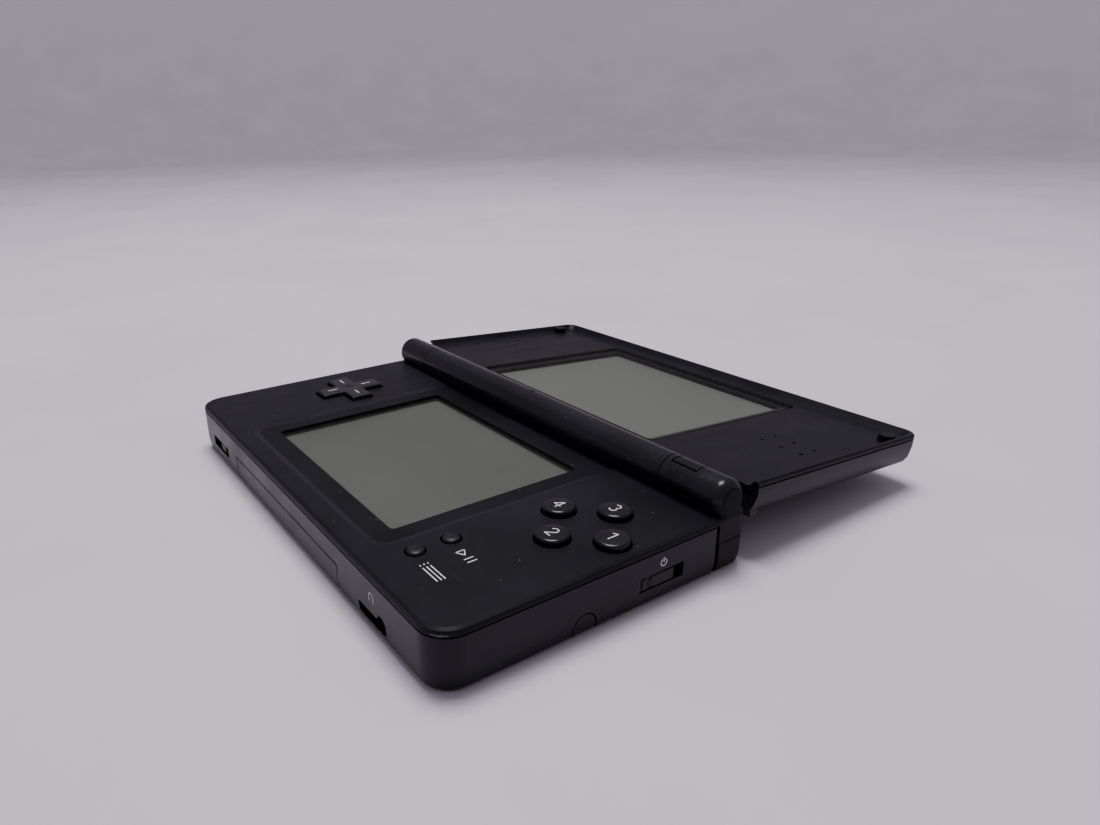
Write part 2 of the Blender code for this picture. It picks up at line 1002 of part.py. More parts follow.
def socket_tools(name, low, high, margin):
    """The key-hole shape of the headphone and headset socket, as two tools."""
    slot = rounded(
        (socket_slot[0] + margin, socket_slot[1] + margin),
        (socket_slot_low + margin, socket_slot_high - margin),
        wall / 4,
        1,
    )
    bore = rod(
        f"{name}_bore", "Y", (socket_bore_x, socket_bore_z), socket_bore - margin, low, high, sides=button_sides
    )
    return prism(f"{name}_slot", "Y", slot, low, high), bore


def make_socket():
    """The headphone and headset socket behind the front wall."""
    face = front + wall + piece_gap
    body = block(
        "headphone_socket",
        (socket_slot[0] - socket_margin, face, bay_floor),
        (socket_bore_x + socket_bore + socket_margin, face + socket_depth + socket_margin, bay_ceiling),
    )
    margin = piece_gap / 2
    slot, bore = socket_tools("socket_inner", face - overrun, face + socket_slot_depth, margin)
    cut(body, slot, bore)
    cut(body, rod(
        "socket_deep_bore",
        "Y",
        (socket_bore_x, socket_bore_z),
        socket_bore - margin * 2,
        face + socket_slot_depth - overrun,
        face + socket_depth,
        sides=button_sides,
    ))
    return body


def make_cartridge_cover():
    """The dust cover: a front face, a foot under the case and a tongue in the slot."""
    cover = base_body("cartridge_cover", 0, cover_height)
    outline = (
        (front - overrun, -overrun),
        (front + cover_foot_depth, -overrun),
        (front + cover_foot_depth, cover_foot),
        (front + cover_leg, cover_foot),
        (front + cover_leg, cover_height + overrun),
        (front - overrun, cover_height + overrun),
    )
    combine(cover, "INTERSECT", [prism("cover_keep", "X", outline, cover_span[0], cover_span[1])])
    tongue = block(
        "cover_tongue",
        (cover_span[0] + tongue_inset, front + cover_leg / 2, bay_floor),
        (cover_span[1] - tongue_inset, front + tongue_depth, bay_floor + tongue_thickness),
    )
    join(cover, tongue)
    return cover


def make_cartridge_reader():
    """The connector at the back of the large card slot."""
    x_low = cover_span[0] + tongue_inset
    x_high = cover_span[1] - tongue_inset
    body = block(
        "cartridge_reader",
        (x_low, -reader_back - reader_depth, bay_floor),
        (x_high, -reader_back, bay_ceiling),
    )
    middle = (bay_floor + bay_ceiling) / 2
    cut(body, block(
        "reader_groove",
        (x_low + wall, -reader_back - reader_depth - overrun, middle - reader_slot / 2),
        (x_high - wall, -reader_back - wall, middle + reader_slot / 2),
    ))
    return body


def make_card_reader():
    """The open-ended cage of the small card slot."""
    half = card_width / 2
    low = bay_floor + card_floor
    back = rear - wall - piece_gap
    body = block(
        "card_reader",
        (-half - card_wall, back - card_depth - card_wall, bay_floor),
        (half + card_wall, back, bay_ceiling),
    )
    cut(body, block("card_room", (-half, back - card_depth, low), (half, back + overrun, low + card_height)))
    return body


def make_charge_socket():
    """The charging socket behind the rear wall."""
    back = rear - wall - piece_gap
    half = charge_width / 2
    body = block(
        "charging_socket",
        (charge_x - half - charge_margin, back - charge_depth - charge_margin, bay_floor),
        (charge_x + half + charge_margin, back, bay_ceiling),
    )
    cut(body, prism(
        "charge_room",
        "Y",
        rounded(
            (charge_x - half + piece_gap, charge_x + half - piece_gap),
            (charge_low + piece_gap, charge_low + charge_height - piece_gap),
            wall / 2,
            2,
        ),
        back - charge_depth,
        back + overrun,
    ))
    return body


def make_battery():
    """Battery, its cover and the cover's screw."""
    x_low = battery_cover_x[0] + battery_margin
    x_high = battery_cover_x[1] - battery_margin
    y_low = battery_cover_y[0] + battery_front_margin
    y_high = battery_cover_y[1] - battery_margin
    battery = prism(
        "battery",
        "Z",
        rounded((x_low, x_high), (y_low, y_high), rib),
        bay_floor,
        bay_ceiling,
    )
    cover = prism("battery_cover", "Z", rounded(battery_cover_x, battery_cover_y, wall, 2), 0, wall)
    head_top = screw_head_sink + screw_head_height
    cut(cover, rod(
        "screw_seat",
        "Z",
        screw_place(),
        screw_head + screw_clearance,
        -overrun,
        head_top + piece_gap,
        sides=button_sides,
    ))
    cut(cover, rod(
        "screw_way", "Z", screw_place(), screw_shank + screw_clearance, 0, wall + overrun, sides=pin_sides
    ))
    profile = (
        (screw_head, screw_head_sink),
        (screw_head, head_top),
        (screw_shank, head_top),
        (screw_shank, screw_length - screw_shank),
        (screw_shank / 3, screw_length),
    )
    screw = turned("battery_cover_screw", profile, (*screw_place(), 0), sides=pin_sides)
    return battery, cover, screw


def make_board():
    """The main board, with room for the shoulder pockets and the trough."""
    edge = wall + lip_thickness + piece_gap * 3
    outline = rounded(
        (-half_width + edge, half_width - edge),
        (front + edge, shoulder_front - shoulder_travel_gap - pocket_wall - piece_gap * 2),
        front_corner_radius / 2,
    )
    return prism("main_board", "Z", outline, board_under, board_top)


def make_display():
    """The lower display and the touch panel over it."""
    def slab(name, margin, low, high):
        outline = rounded(
            (-window_width / 2 - margin, window_width / 2 + margin),
            (screen_y - window_height / 2 - margin, screen_y + window_height / 2 + margin),
            window_radius,
        )
        return prism(name, "Z", outline, low, high)

    return (
        slab("touch_panel", panel_margin, panel_under, panel_top),
        slab("lower_display", display_margin, display_under, display_top),
    )


def button_profile(radius, proud, flange_radius):
    """A round cap on a wider flange, from the underside up to its crown."""
    flange_top = deck_under - button_flange_drop
    top = deck + proud
    return (
        (flange_radius, flange_top - button_flange),
        (flange_radius, flange_top),
        (radius, flange_top),
        (radius, top - button_round),
        (radius - button_round * soft_share, top - button_round * soft_share),
        (radius - button_round, top),
        (radius / 3, top + button_round / 6),
    )


def make_buttons():
    """The four face buttons and the two menu buttons."""
    made = []
    for buttons, radius, proud in (
        (face_buttons(), button_radius, button_proud),
        (menu_buttons(), menu_radius, menu_proud),
    ):
        for name, place in buttons:
            profile = button_profile(radius, proud, radius + button_flange_margin)
            made.append(turned(name, profile, (*place, 0)))
    return made


def make_pad():
    """The direction pad and the nub it rocks on."""
    pivot_z = pad_pivot_height()
    pad = bpy.data.objects.new("pad_empty", None)
    bpy.context.scene.collection.objects.link(pad)
    pad.location = (pad_x, pad_y, pivot_z)

    top = deck + pad_proud - pivot_z
    flange_low = pad_flange_low() - pivot_z
    flange_high = flange_low + pad_flange
    half = pad_arm / 2
    levels = (
        (0, flange_low + pad_flange / 2),
        (0, top - pad_round),
        (pad_round * soft_share, top - pad_round * soft_share),
        (pad_round, top),
    )
    rings = []
    for inset, height in levels:
        outline = cross_outline(pad_reach - inset, half - inset)
        rings.append([(x, y, height) for x, y in outline])
    cross = loft("direction_pad", rings, pad)
    join(cross, rod("pad_flange_disc", "Z", (0, 0), pad_flange_radius, flange_low, flange_high, pad))
    dish = turned(
        "pad_dish_tool",
        ((pad_dish_radius * pad_dish_floor_share, top - pad_dish), (pad_dish_radius, top), (pad_dish_radius, top + overrun)),
        (0, 0, 0),
        pad,
    )
    cut(cross, dish)
    nub = turned(
        "pad_nub",
        (
            (nub_radius, -nub_height / 2),
            (nub_radius * nub_shares[1], nub_height * nub_shares[0]),
            (nub_radius * nub_shares[2], nub_height / 2),
        ),
        (0, 0, 0),
        pad,
    )
    return cross, nub


def pad_flange_low():
    """Underside of the pad's flange."""
    return deck_under - pad_flange_drop - pad_flange


def pad_pivot_height():
    """The height of the point that the pad rocks about."""
    return pad_flange_low() - piece_gap - nub_height / 2


def make_membranes():
    """Rubber sheets under the pad, the face buttons and the menu buttons."""
    low = board_top + piece_gap
    high = low + membrane_thickness
    pad = prism(
        "pad_membrane",
        "Z",
        circle((pad_x, pad_y), pad_flange_radius, round_sides),
        low,
        pad_pivot_height() - nub_height / 2 - piece_gap,
    )
    reach = cluster_arm + button_radius + membrane_margin
    face = prism(
        "face_membrane",
        "Z",
        rounded(
            (cluster_x - reach, cluster_x + reach),
            (cluster_y - reach, cluster_y + reach),
            reach / 2,
            4,
        ),
        low,
        high,
    )
    side = menu_radius + membrane_margin
    menu = prism(
        "menu_membrane",
        "Z",
        rounded((menu_x - side, menu_x + side), (menu_y[1] - side, menu_y[0] + side), side / 2, 4),
        low,
        high,
    )
    return pad, face, menu


def make_volume():
    """The volume slider and the control behind it."""
    knob_low = volume_knob_x - volume_knob_width / 2
    knob_high = volume_knob_x + volume_knob_width / 2
    inner = front + wall + piece_gap
    knob = block(
        "volume_slider",
        (knob_low, front + slider_recess, volume_slot_low + piece_gap),
        (knob_high, inner + slider_flange / 2, volume_slot_high - piece_gap),
    )
    flange = block(
        "volume_flange",
        (knob_low - slider_flange_reach, inner, volume_slot_low - slider_flange_rise),
        (knob_high + slider_flange_reach, inner + slider_flange, volume_slot_high + slider_flange_rise / 2),
    )
    join(knob, flange)
    back = inner + slider_flange + piece_gap
    control = block(
        "volume_control",
        (volume_slot[0], back, volume_slot_low - piece_gap),
        (volume_slot[1], back + volume_control_depth, bay_ceiling),
    )
    return knob, control


def make_power():
    """The power slider and the switch behind it."""
    face_low = power_slot[0] + piece_gap
    face_high = power_slot[1] - piece_gap - power_travel
    inner = half_width - wall - piece_gap
    knob = block(
        "power_slider",
        (inner - slider_flange / 2, face_low, power_slot_low + piece_gap),
        (half_width - slider_recess, face_high, power_slot_high - piece_gap),
    )
    flange = block(
        "power_flange",
        (inner - slider_flange, face_low - slider_flange_reach, power_slot_low - slider_flange_rise),
        (inner, face_high + slider_flange_reach, bay_ceiling),
    )
    join(knob, flange)
    ridge_y = face_low + (face_high - face_low) * nub_ridge_share
    ridge = block(
        "power_ridge",
        (inner, ridge_y, power_slot_low + piece_gap * 3),
        (half_width - slider_recess + nub_ridge_height, ridge_y + nub_ridge_width, power_slot_high - piece_gap * 3),
    )
    join(knob, ridge)
    back = inner - slider_flange - piece_gap
    middle = (face_low + face_high) / 2
    switch = block(
        "power_switch",
        (back - power_switch_depth, middle - power_switch_width / 2, power_slot_low - piece_gap),
        (back, middle + power_switch_width / 2, bay_ceiling),
    )
    return knob, switch


def shoulder_pin_place(side):
    """The upright axis that a shoulder button turns on."""
    return (side * (shoulder_half + shoulder_pin_inset), rear - shoulder_pin_back)


def make_shoulder(side):
    """One shoulder button, hollow from the front, and its pin."""
    name = side_name(side)
    anchor = bpy.data.objects.new(f"shoulder_{name}_empty", None)
    bpy.context.scene.collection.objects.link(anchor)
    pin_x, pin_y = shoulder_pin_place(side)
    anchor.location = (pin_x, pin_y, 0)

    button = base_body(f"shoulder_button_{name}", 0, shoulder_top)
    x_low, x_high = span_on(side, shoulder_half, half_width + overrun)
    keep = block(
        f"shoulder_keep_{name}",
        (x_low, shoulder_front, -overrun),
        (x_high, rear + overrun, shoulder_top + overrun),
    )
    combine(button, "INTERSECT", [keep])
    x_low, x_high = span_on(side, shoulder_half + shoulder_wall, half_width - shoulder_wall)
    hollow = block(
        f"shoulder_hollow_{name}",
        (x_low, shoulder_front - overrun, shoulder_wall),
        (x_high, rear - shoulder_wall, shoulder_top - shoulder_wall),
    )
    cut(button, hollow)
    cut(button, rod(
        f"shoulder_bore_{name}",
        "Z",
        (pin_x, pin_y),
        shoulder_pin_radius + piece_gap,
        shoulder_wall / 2,
        shoulder_top + overrun,
        sides=pin_sides,
    ))
    for corner in button.data.vertices:
        corner.co -= Vector(anchor.location)
    button.parent = anchor
    pin = rod(
        f"shoulder_pin_{name}",
        "Z",
        (pin_x, pin_y),
        shoulder_pin_radius,
        shoulder_wall / 2 + piece_gap,
        shoulder_top + piece_gap + shoulder_pin_reach,
        sides=pin_sides,
    )
    return button, pin


def make_feet():
    """Two round rubber feet that cover the front case screws."""
    feet = []
    for side in (-1, 1):
        feet.append(rod(
            f"rubber_foot_{side_name(side)}",
            "Z",
            (side * foot_x, front + foot_inset),
            foot_radius,
            0,
            foot_thickness,
            sides=button_sides,
        ))
    return feet


def make_indicator():
    """The indicator window let into the top of the right knuckle."""
    outline = lens_outline(barrel_radius, barrel_radius - lens_depth, 0)
    return prism("indicator_window", "X", outline, lens_window[0], lens_window[1])


def make_hinge_parts():
    """The clutch in the right end of the barrel and the bush in the left end."""
    def stepped(name, side, length):
        shoulder = barrel_half + piece_gap / 2
        radius = barrel_bore - piece_gap
        levels = (
            (barrel_half - length, radius),
            (shoulder - piece_gap, radius),
            (shoulder - piece_gap, shaft_radius),
            (barrel_half + shaft_reach, shaft_radius),
        )
        rings = []
        for x, level in levels:
            rings.append([(side * x, y, z) for y, z in circle((hinge_y, hinge_z), level, button_sides)])
        return loft(name, rings)

    clutch = stepped("hinge_clutch", 1, clutch_length)
    bush = stepped("hinge_bush", -1, bush_length)
    cut(bush, rod(
        "cable_way",
        "X",
        (hinge_y, hinge_z),
        cable_bore,
        -barrel_half - shaft_reach - overrun,
        -barrel_half + bush_length + overrun,
        sides=pin_sides,
    ))
    return clutch, bush


def make_lid_outer(hinge):
    """The lid's back, its walls, and the barrel on a neck."""
    levels = []
    for inset_share, height_share in round_edge_shares:
        levels.append((lid_edge_inset * inset_share, lid_back + lid_edge_height * height_share))
    levels.append((0, lid_seam_low()))
    rings = [lid_ring(inset, height) for inset, height in levels]
    inner_near = lid_near + wall
    rings.append(lid_ring(wall, lid_seam_low(), inner_near))
    rings.append(lid_ring(wall, lid_back + lid_edge_height, inner_near))
    rings.append(lid_ring(lid_edge_inset * inner_edge_share, lid_back + wall, inner_near))
    shell = loft("lid_outer_shell", rings, hinge)
    for side in (-1, 1):
        x_low, x_high = span_on(side, knuckle_half - wall, lid_half - wall / 2)
        join(shell, block(
            f"notch_wall_{side_name(side)}",
            (x_low, lid_near + wall / 2, lid_back + wall / 2),
            (x_high, lid_near + lid_near_wall, face_under),
            hinge,
        ))

    barrel = rod("barrel", "X", (0, 0), barrel_radius, -barrel_half, barrel_half, hinge)
    top = face_under - plate_step * 2 - piece_gap
    bottom = lid_back + piece_gap / 4
    buried = lid_near + neck_overlap
    outline = [(0, top), (buried, top), (buried, bottom + piece_gap)]
    for along_share, drop_share in reversed(neck_drop_shares):
        along = (lid_near + piece_gap) * along_share
        outline.append((along, -neck_root + (bottom + neck_root) * drop_share))
    neck = prism("barrel_neck", "X", outline, -barrel_half + piece_gap, barrel_half - piece_gap, hinge)
    join(neck, barrel)
    join(shell, neck)
    half = lid_half - wall + plate_step
    cut(shell, block(
        "near_wall_trim",
        (-half, barrel_radius + plate_step, face_under - plate_step - piece_gap),
        (half, lid_near + lid_near_wall + overrun, rim_plane + overrun),
        hinge,
    ))
    cut(shell, rod("barrel_bore_tool", "X", (0, 0), barrel_bore, -case_width, case_width, hinge))
    cut_notches(shell, "back", hinge)
    cut(shell, rod(
        "mic_hole_tool",
        "Z",
        (0, 0),
        mic_hole,
        barrel_bore / 2,
        barrel_radius + overrun,
        hinge,
        sides=pin_sides,
    ))
    return shell


def lid_seam_low():
    """Top of the lid's outer walls."""
    return rim_plane - lid_rim_height - seam_gap


def cut_notches(shell, name, hinge):
    """Round notches that let the lid swing past the knuckles."""
    for side in (-1, 1):
        x_low, x_high = span_on(side, knuckle_half - piece_gap / 2, half_width + overrun)
        cut(shell, rod(
            f"notch_{name}_{side_name(side)}", "X", (0, 0), notch_radius, x_low, x_high, hinge, sides=round_sides * 2
        ))


def make_lid_inner(hinge):
    """The lid's faceplate: a rim on three sides round a dished face."""
    skirt = wall + piece_gap
    seam = rim_plane - lid_rim_height
    levels = (
        (skirt, face_under, lid_near + piece_gap),
        (skirt, seam, lid_near + piece_gap),
        (0, seam, lid_near),
        (0, rim_plane - lid_rim_inset, lid_near),
        (lid_rim_inset, rim_plane, lid_near),
    )
    shell = loft("lid_inner_shell", [lid_ring(inset, height, near) for inset, height, near in levels], hinge)
    tongue = block(
        "face_tongue",
        (-barrel_half, barrel_radius + piece_gap, face_under - plate_step),
        (barrel_half, lid_near + overrun, (lid_face + rim_plane) / 2),
        hinge,
    )
    join(shell, tongue)
    dish = []
    for slope_share, depth_share in reversed(dish_slope_shares):
        inset = lid_rim_width + lid_dish_slope * slope_share
        dish.append(plan_ring(
            lid_half - inset,
            0,
            lid_reach - inset,
            lid_near_radius,
            lid_far_radius - inset / 2,
            rim_plane - lid_dish * depth_share,
        ))
    top = [(x, y, rim_plane + overrun) for x, y, z in dish[-1]]
    cut(shell, loft("dish_tool", dish + [top], hinge))
    cut_notches(shell, "face", hinge)
    cut_face_openings(shell, hinge)
    return shell


def centred(middle, width, height):
    """X and Y spans of a rectangle centred across the lid."""
    return (-width / 2, width / 2), (middle - height / 2, middle + height / 2)


def cut_face_openings(shell, hinge):
    """The glass recess, the window, the speaker holes and the bumper recesses."""
    x_span, y_span = centred(upper_screen_y, glass_width + piece_gap * 2, glass_height + piece_gap * 2)
    recess_low = lid_face - glass_thickness - piece_gap
    cut(shell, prism(
        "glass_recess", "Z", rounded(x_span, y_span, glass_radius), recess_low, rim_plane + overrun, hinge
    ))
    x_span, y_span = centred(upper_screen_y, upper_window_width, upper_window_height)
    cut(shell, prism(
        "upper_window", "Z", rounded(x_span, y_span, window_radius), face_under - overrun, rim_plane, hinge
    ))
    for side in (-1, 1):
        for column in range(hole_columns):
            for row in range(hole_rows):
                x = speaker_x + (column - (hole_columns - 1) / 2) * hole_pitch_x
                y = speaker_y + (row - (hole_rows - 1) / 2) * hole_pitch_y
                cut(shell, rod(
                    f"speaker_hole_{side_name(side)}_{column}_{row}",
                    "Z",
                    (side * x, y),
                    hole_radius,
                    face_under - overrun,
                    rim_plane + overrun,
                    hinge,
                    sides=hole_sides,
                ))
        cut(shell, rod(
            f"bumper_recess_{side_name(side)}",
            "Z",
            (side * bumper_x, bumper_y),
            bumper_radius + piece_gap,
            rim_plane - bumper_depth - piece_gap,
            rim_plane + overrun,
            hinge,
            sides=button_sides,
        ))


def make_lid_contents(hinge):
    """Glass, display, speakers, bumpers and microphone."""
    x_span, y_span = centred(upper_screen_y, glass_width, glass_height)
    glass = prism(
        "upper_glass", "Z", rounded(x_span, y_span, glass_radius), lid_face - glass_thickness, lid_face, hinge
    )
    x_span, y_span = centred(
        upper_screen_y,
        upper_window_width + upper_display_margin * 2,
        upper_window_height + upper_display_margin * 2,
    )
    top = face_under - plate_step - piece_gap
    display = prism(
        "upper_display", "Z", rounded(x_span, y_span, window_radius), top - upper_display_thickness, top, hinge
    )
    made = {"upper_glass": glass, "upper_display": display}
    for side in (-1, 1):
        name = side_name(side)
        made[f"speaker_{name}"] = rod(
            f"speaker_{name}",
            "Z",
            (side * speaker_x, speaker_y),
            speaker_radius,
            top - speaker_thickness,
            top,
            hinge,
            sides=button_sides,
        )
        made[f"lid_bumper_{name}"] = rod(
            f"lid_bumper_{name}",
            "Z",
            (side * bumper_x, bumper_y),
            bumper_radius,
            rim_plane - bumper_depth,
            rim_plane + bumper_proud,
            hinge,
            sides=button_sides,
        )
    made["microphone"] = rod(
        "microphone",
        "X",
        (0, 0),
        barrel_bore - piece_gap,
        -mic_length / 2,
        mic_length / 2,
        hinge,
        sides=button_sides,
    )
    return made


def paint(made, finish):
    """Gives an object its material and smooth round faces."""
    made.data.materials.append(finish)
    made.data.shade_smooth()
    made.data.set_sharp_from_angle(angle=math.radians(smooth_deg))


def main():
    """Clears the scene and builds every piece."""
    for old in list(bpy.data.objects):
        bpy.data.objects.remove(old, do_unlink=True)

    case = (0.012, 0.012, 0.016)
    for made in (make_lower_shell(), make_upper_shell(), make_cartridge_cover()):
        paint(made, material(made.name, case, 0.42))
    for made in (make_stylus(), *make_buttons()):
        paint(made, material(made.name, case, 0.4))
    cross, nub = make_pad()
    paint(cross, material("direction_pad", case, 0.4))
    paint(nub, material("pad_nub", (0.05, 0.05, 0.055), 0.6))
    for side in (-1, 1):
        button, pin = make_shoulder(side)
        paint(button, material(button.name, case, 0.4))
        paint(pin, material(pin.name, (0.5, 0.5, 0.5), 0.3, 1.0))
    volume_knob, volume_control = make_volume()
    power_knob, power_switch = make_power()
    for made in (volume_knob, power_knob):
        paint(made, material(made.name, (0.03, 0.03, 0.035), 0.45))
    for made in (volume_control, power_switch):
        paint(made, material(made.name, (0.3, 0.3, 0.3), 0.4, 0.8))

    battery, battery_cover, screw = make_battery()
    paint(battery, material("battery", (0.05, 0.05, 0.06), 0.5))
    paint(battery_cover, material("battery_cover", case, 0.42))
    paint(screw, material("battery_cover_screw", (0.5, 0.5, 0.5), 0.35, 1.0))
    panel, display = make_display()
    paint(panel, material("touch_panel", (0.14, 0.145, 0.13), 0.15))
    paint(display, material("lower_display", (0.13, 0.135, 0.12), 0.3))
    paint(make_board(), material("main_board", (0.02, 0.12, 0.05), 0.5))
    wireless = block(
        "wireless_board",
        (wireless_x, wireless_y[0], board_top + piece_gap),
        (wireless_x + wireless_width, wireless_y[1], board_top + piece_gap + wireless_thickness),
    )
    paint(wireless, material("wireless_board", (0.02, 0.06, 0.12), 0.5))
    for made in make_membranes():
        paint(made, material(made.name, (0.15, 0.15, 0.16), 0.8))
    for made in (make_card_reader(), make_cartridge_reader()):
        paint(made, material(made.name, (0.02, 0.02, 0.02), 0.5))
    for made in (make_socket(), make_charge_socket()):
        paint(made, material(made.name, (0.015, 0.015, 0.015), 0.5))
    for made in make_feet():
        paint(made, material(made.name, (0.02, 0.02, 0.022), 0.85))
    paint(make_indicator(), material("indicator_window", (0.06, 0.06, 0.07), 0.25))
    for made in make_hinge_parts():
        paint(made, material(made.name, (0.4, 0.4, 0.4), 0.4, 1.0))

    hinge = bpy.data.objects.new("lid_hinge", None)
    bpy.context.scene.collection.objects.link(hinge)
    hinge.location = (0, hinge_y, hinge_z)
    hinge.rotation_euler = (-math.radians(lid_droop_deg), 0, 0)
    for made in (make_lid_outer(hinge), make_lid_inner(hinge)):
        paint(made, material(made.name, case, 0.42))
    finishes = {
        "upper_glass": ((0.02, 0.02, 0.022), 0.2, 0.0),
        "upper_display": ((0.13, 0.135, 0.12), 0.3, 0.0),
        "speaker": ((0.3, 0.3, 0.3), 0.5, 0.5),
        "lid_bumper": ((0.02, 0.02, 0.022), 0.85, 0.0),
        "microphone": ((0.25, 0.25, 0.25), 0.4, 0.8),
    }
    for name, made in make_lid_contents(hinge).items():
        kind = name.removesuffix("_left").removesuffix("_right")
        colour, roughness, metallic = finishes[kind]
        paint(made, material(name, colour, roughness, metallic))


main()
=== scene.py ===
"""Looks of the clamshell handheld game console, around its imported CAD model."""

import math

import bmesh
import bpy
from mathutils import Matrix, Vector
from mathutils.bvhtree import BVHTree


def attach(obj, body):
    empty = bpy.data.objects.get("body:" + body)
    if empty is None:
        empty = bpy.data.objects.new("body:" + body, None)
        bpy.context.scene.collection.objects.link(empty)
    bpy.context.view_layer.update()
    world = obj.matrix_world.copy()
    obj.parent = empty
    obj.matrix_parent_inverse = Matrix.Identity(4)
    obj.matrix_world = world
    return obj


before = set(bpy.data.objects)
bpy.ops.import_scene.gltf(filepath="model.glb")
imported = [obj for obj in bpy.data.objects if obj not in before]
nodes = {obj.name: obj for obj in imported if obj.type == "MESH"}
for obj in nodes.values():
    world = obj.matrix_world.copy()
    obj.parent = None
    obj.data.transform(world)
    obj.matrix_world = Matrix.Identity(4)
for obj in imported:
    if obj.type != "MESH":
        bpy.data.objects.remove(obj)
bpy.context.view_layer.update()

# Shapes on the object are given in mm, and camera, lights, floor, wear and bevels in metres.
# Angles are in degrees.
MM = 0.001

# Camera, fitted to the photograph
CAMERA_PLACE = (0.15585, -0.08515, 0.08931)
CAMERA_AZIMUTH = 56.47
CAMERA_DOWN = 20.91
CAMERA_ROLL = -1.12
CAMERA_FOCAL = 789.4
CAMERA_CENTRE = (489.0, 410.0)
PICTURE = (1100, 825)
SENSOR_WIDTH = 36.0
CAMERA_CLIP = 0.005

# Lid, hinge and knuckles. A facing is the least share of a normal along the direction looked for.
LID_AXIS = (0.0, 31.65, 15.7)
LID_DROOP = -4.0
GLASS_SPAN = (69.9, 53.6)
GLASS_RADIUS = 1.8
WINDOW_SPAN = (65.5, 50.49)
WINDOW_RADIUS = 1.0
SCREEN_MIDDLE = 35.49
GLASS_FACING = 0.9
PRINT_LEVELS = (0.04, 0.14)
BARREL_REACH = 4.7
KNUCKLE_FRONT = 25.0
KNUCKLE_FOOT = 12.25
END_FACING = 0.9

# Sunken tray round the lower screen
DECK = 12.9
TRAY_FLOOR = 12.4
TRAY_HALF = 37.2
TRAY_FRONT = -32.4
TRAY_REAR = 27.0
FLAT = 0.05

# Printed marks, and the painted shadow line round the dust cover, cast onto a node's surface from a
# little above it
LINE_WIDTH = 0.3
LINE_HEIGHT = 0.012
LINE_SINK = 0.05
LINE_STEP = 0.35
LINE_OVERRUN = 0.4
CAST_LENGTH = 6.0

# Displays and the clear pieces over them. The lift, in metres, stays within the gap between the two
DISPLAY_LIFT = 0.00002
DISPLAY_GLOSS = 0.1
CELL_ROWS = 1300.0
CLEAR_BEND = 1.4

# Wear of the plastic: scuffs are place, reach and bare share, streaks are place and spread
WORN_COLOUR = (0.08, 0.08, 0.085)
DUST_COLOUR = (0.3, 0.3, 0.3)
DUST_CELLS = 900.0
SCRATCH_STRETCH = (170.0, 5200.0, 5200.0)
WORN_EDGE = 0.00028
BARREL_SCUFFS = (((0.05, 0.031, 0.02), 0.009, 0.12), ((0.058, 0.028, 0.019), 0.005, 0.04))
CORNER_STREAKS = (((0.06475, -0.03495, 0.01175), (0.0026, 0.0026, 0.0003)),)

# Edge softening of the CAD nodes
EDGE_WIDTH = 0.00014
EDGE_ANGLE = 24.0
EDGE_STEPS = 2
MERGE = 0.000001
FLAT_ANGLE = 0.4


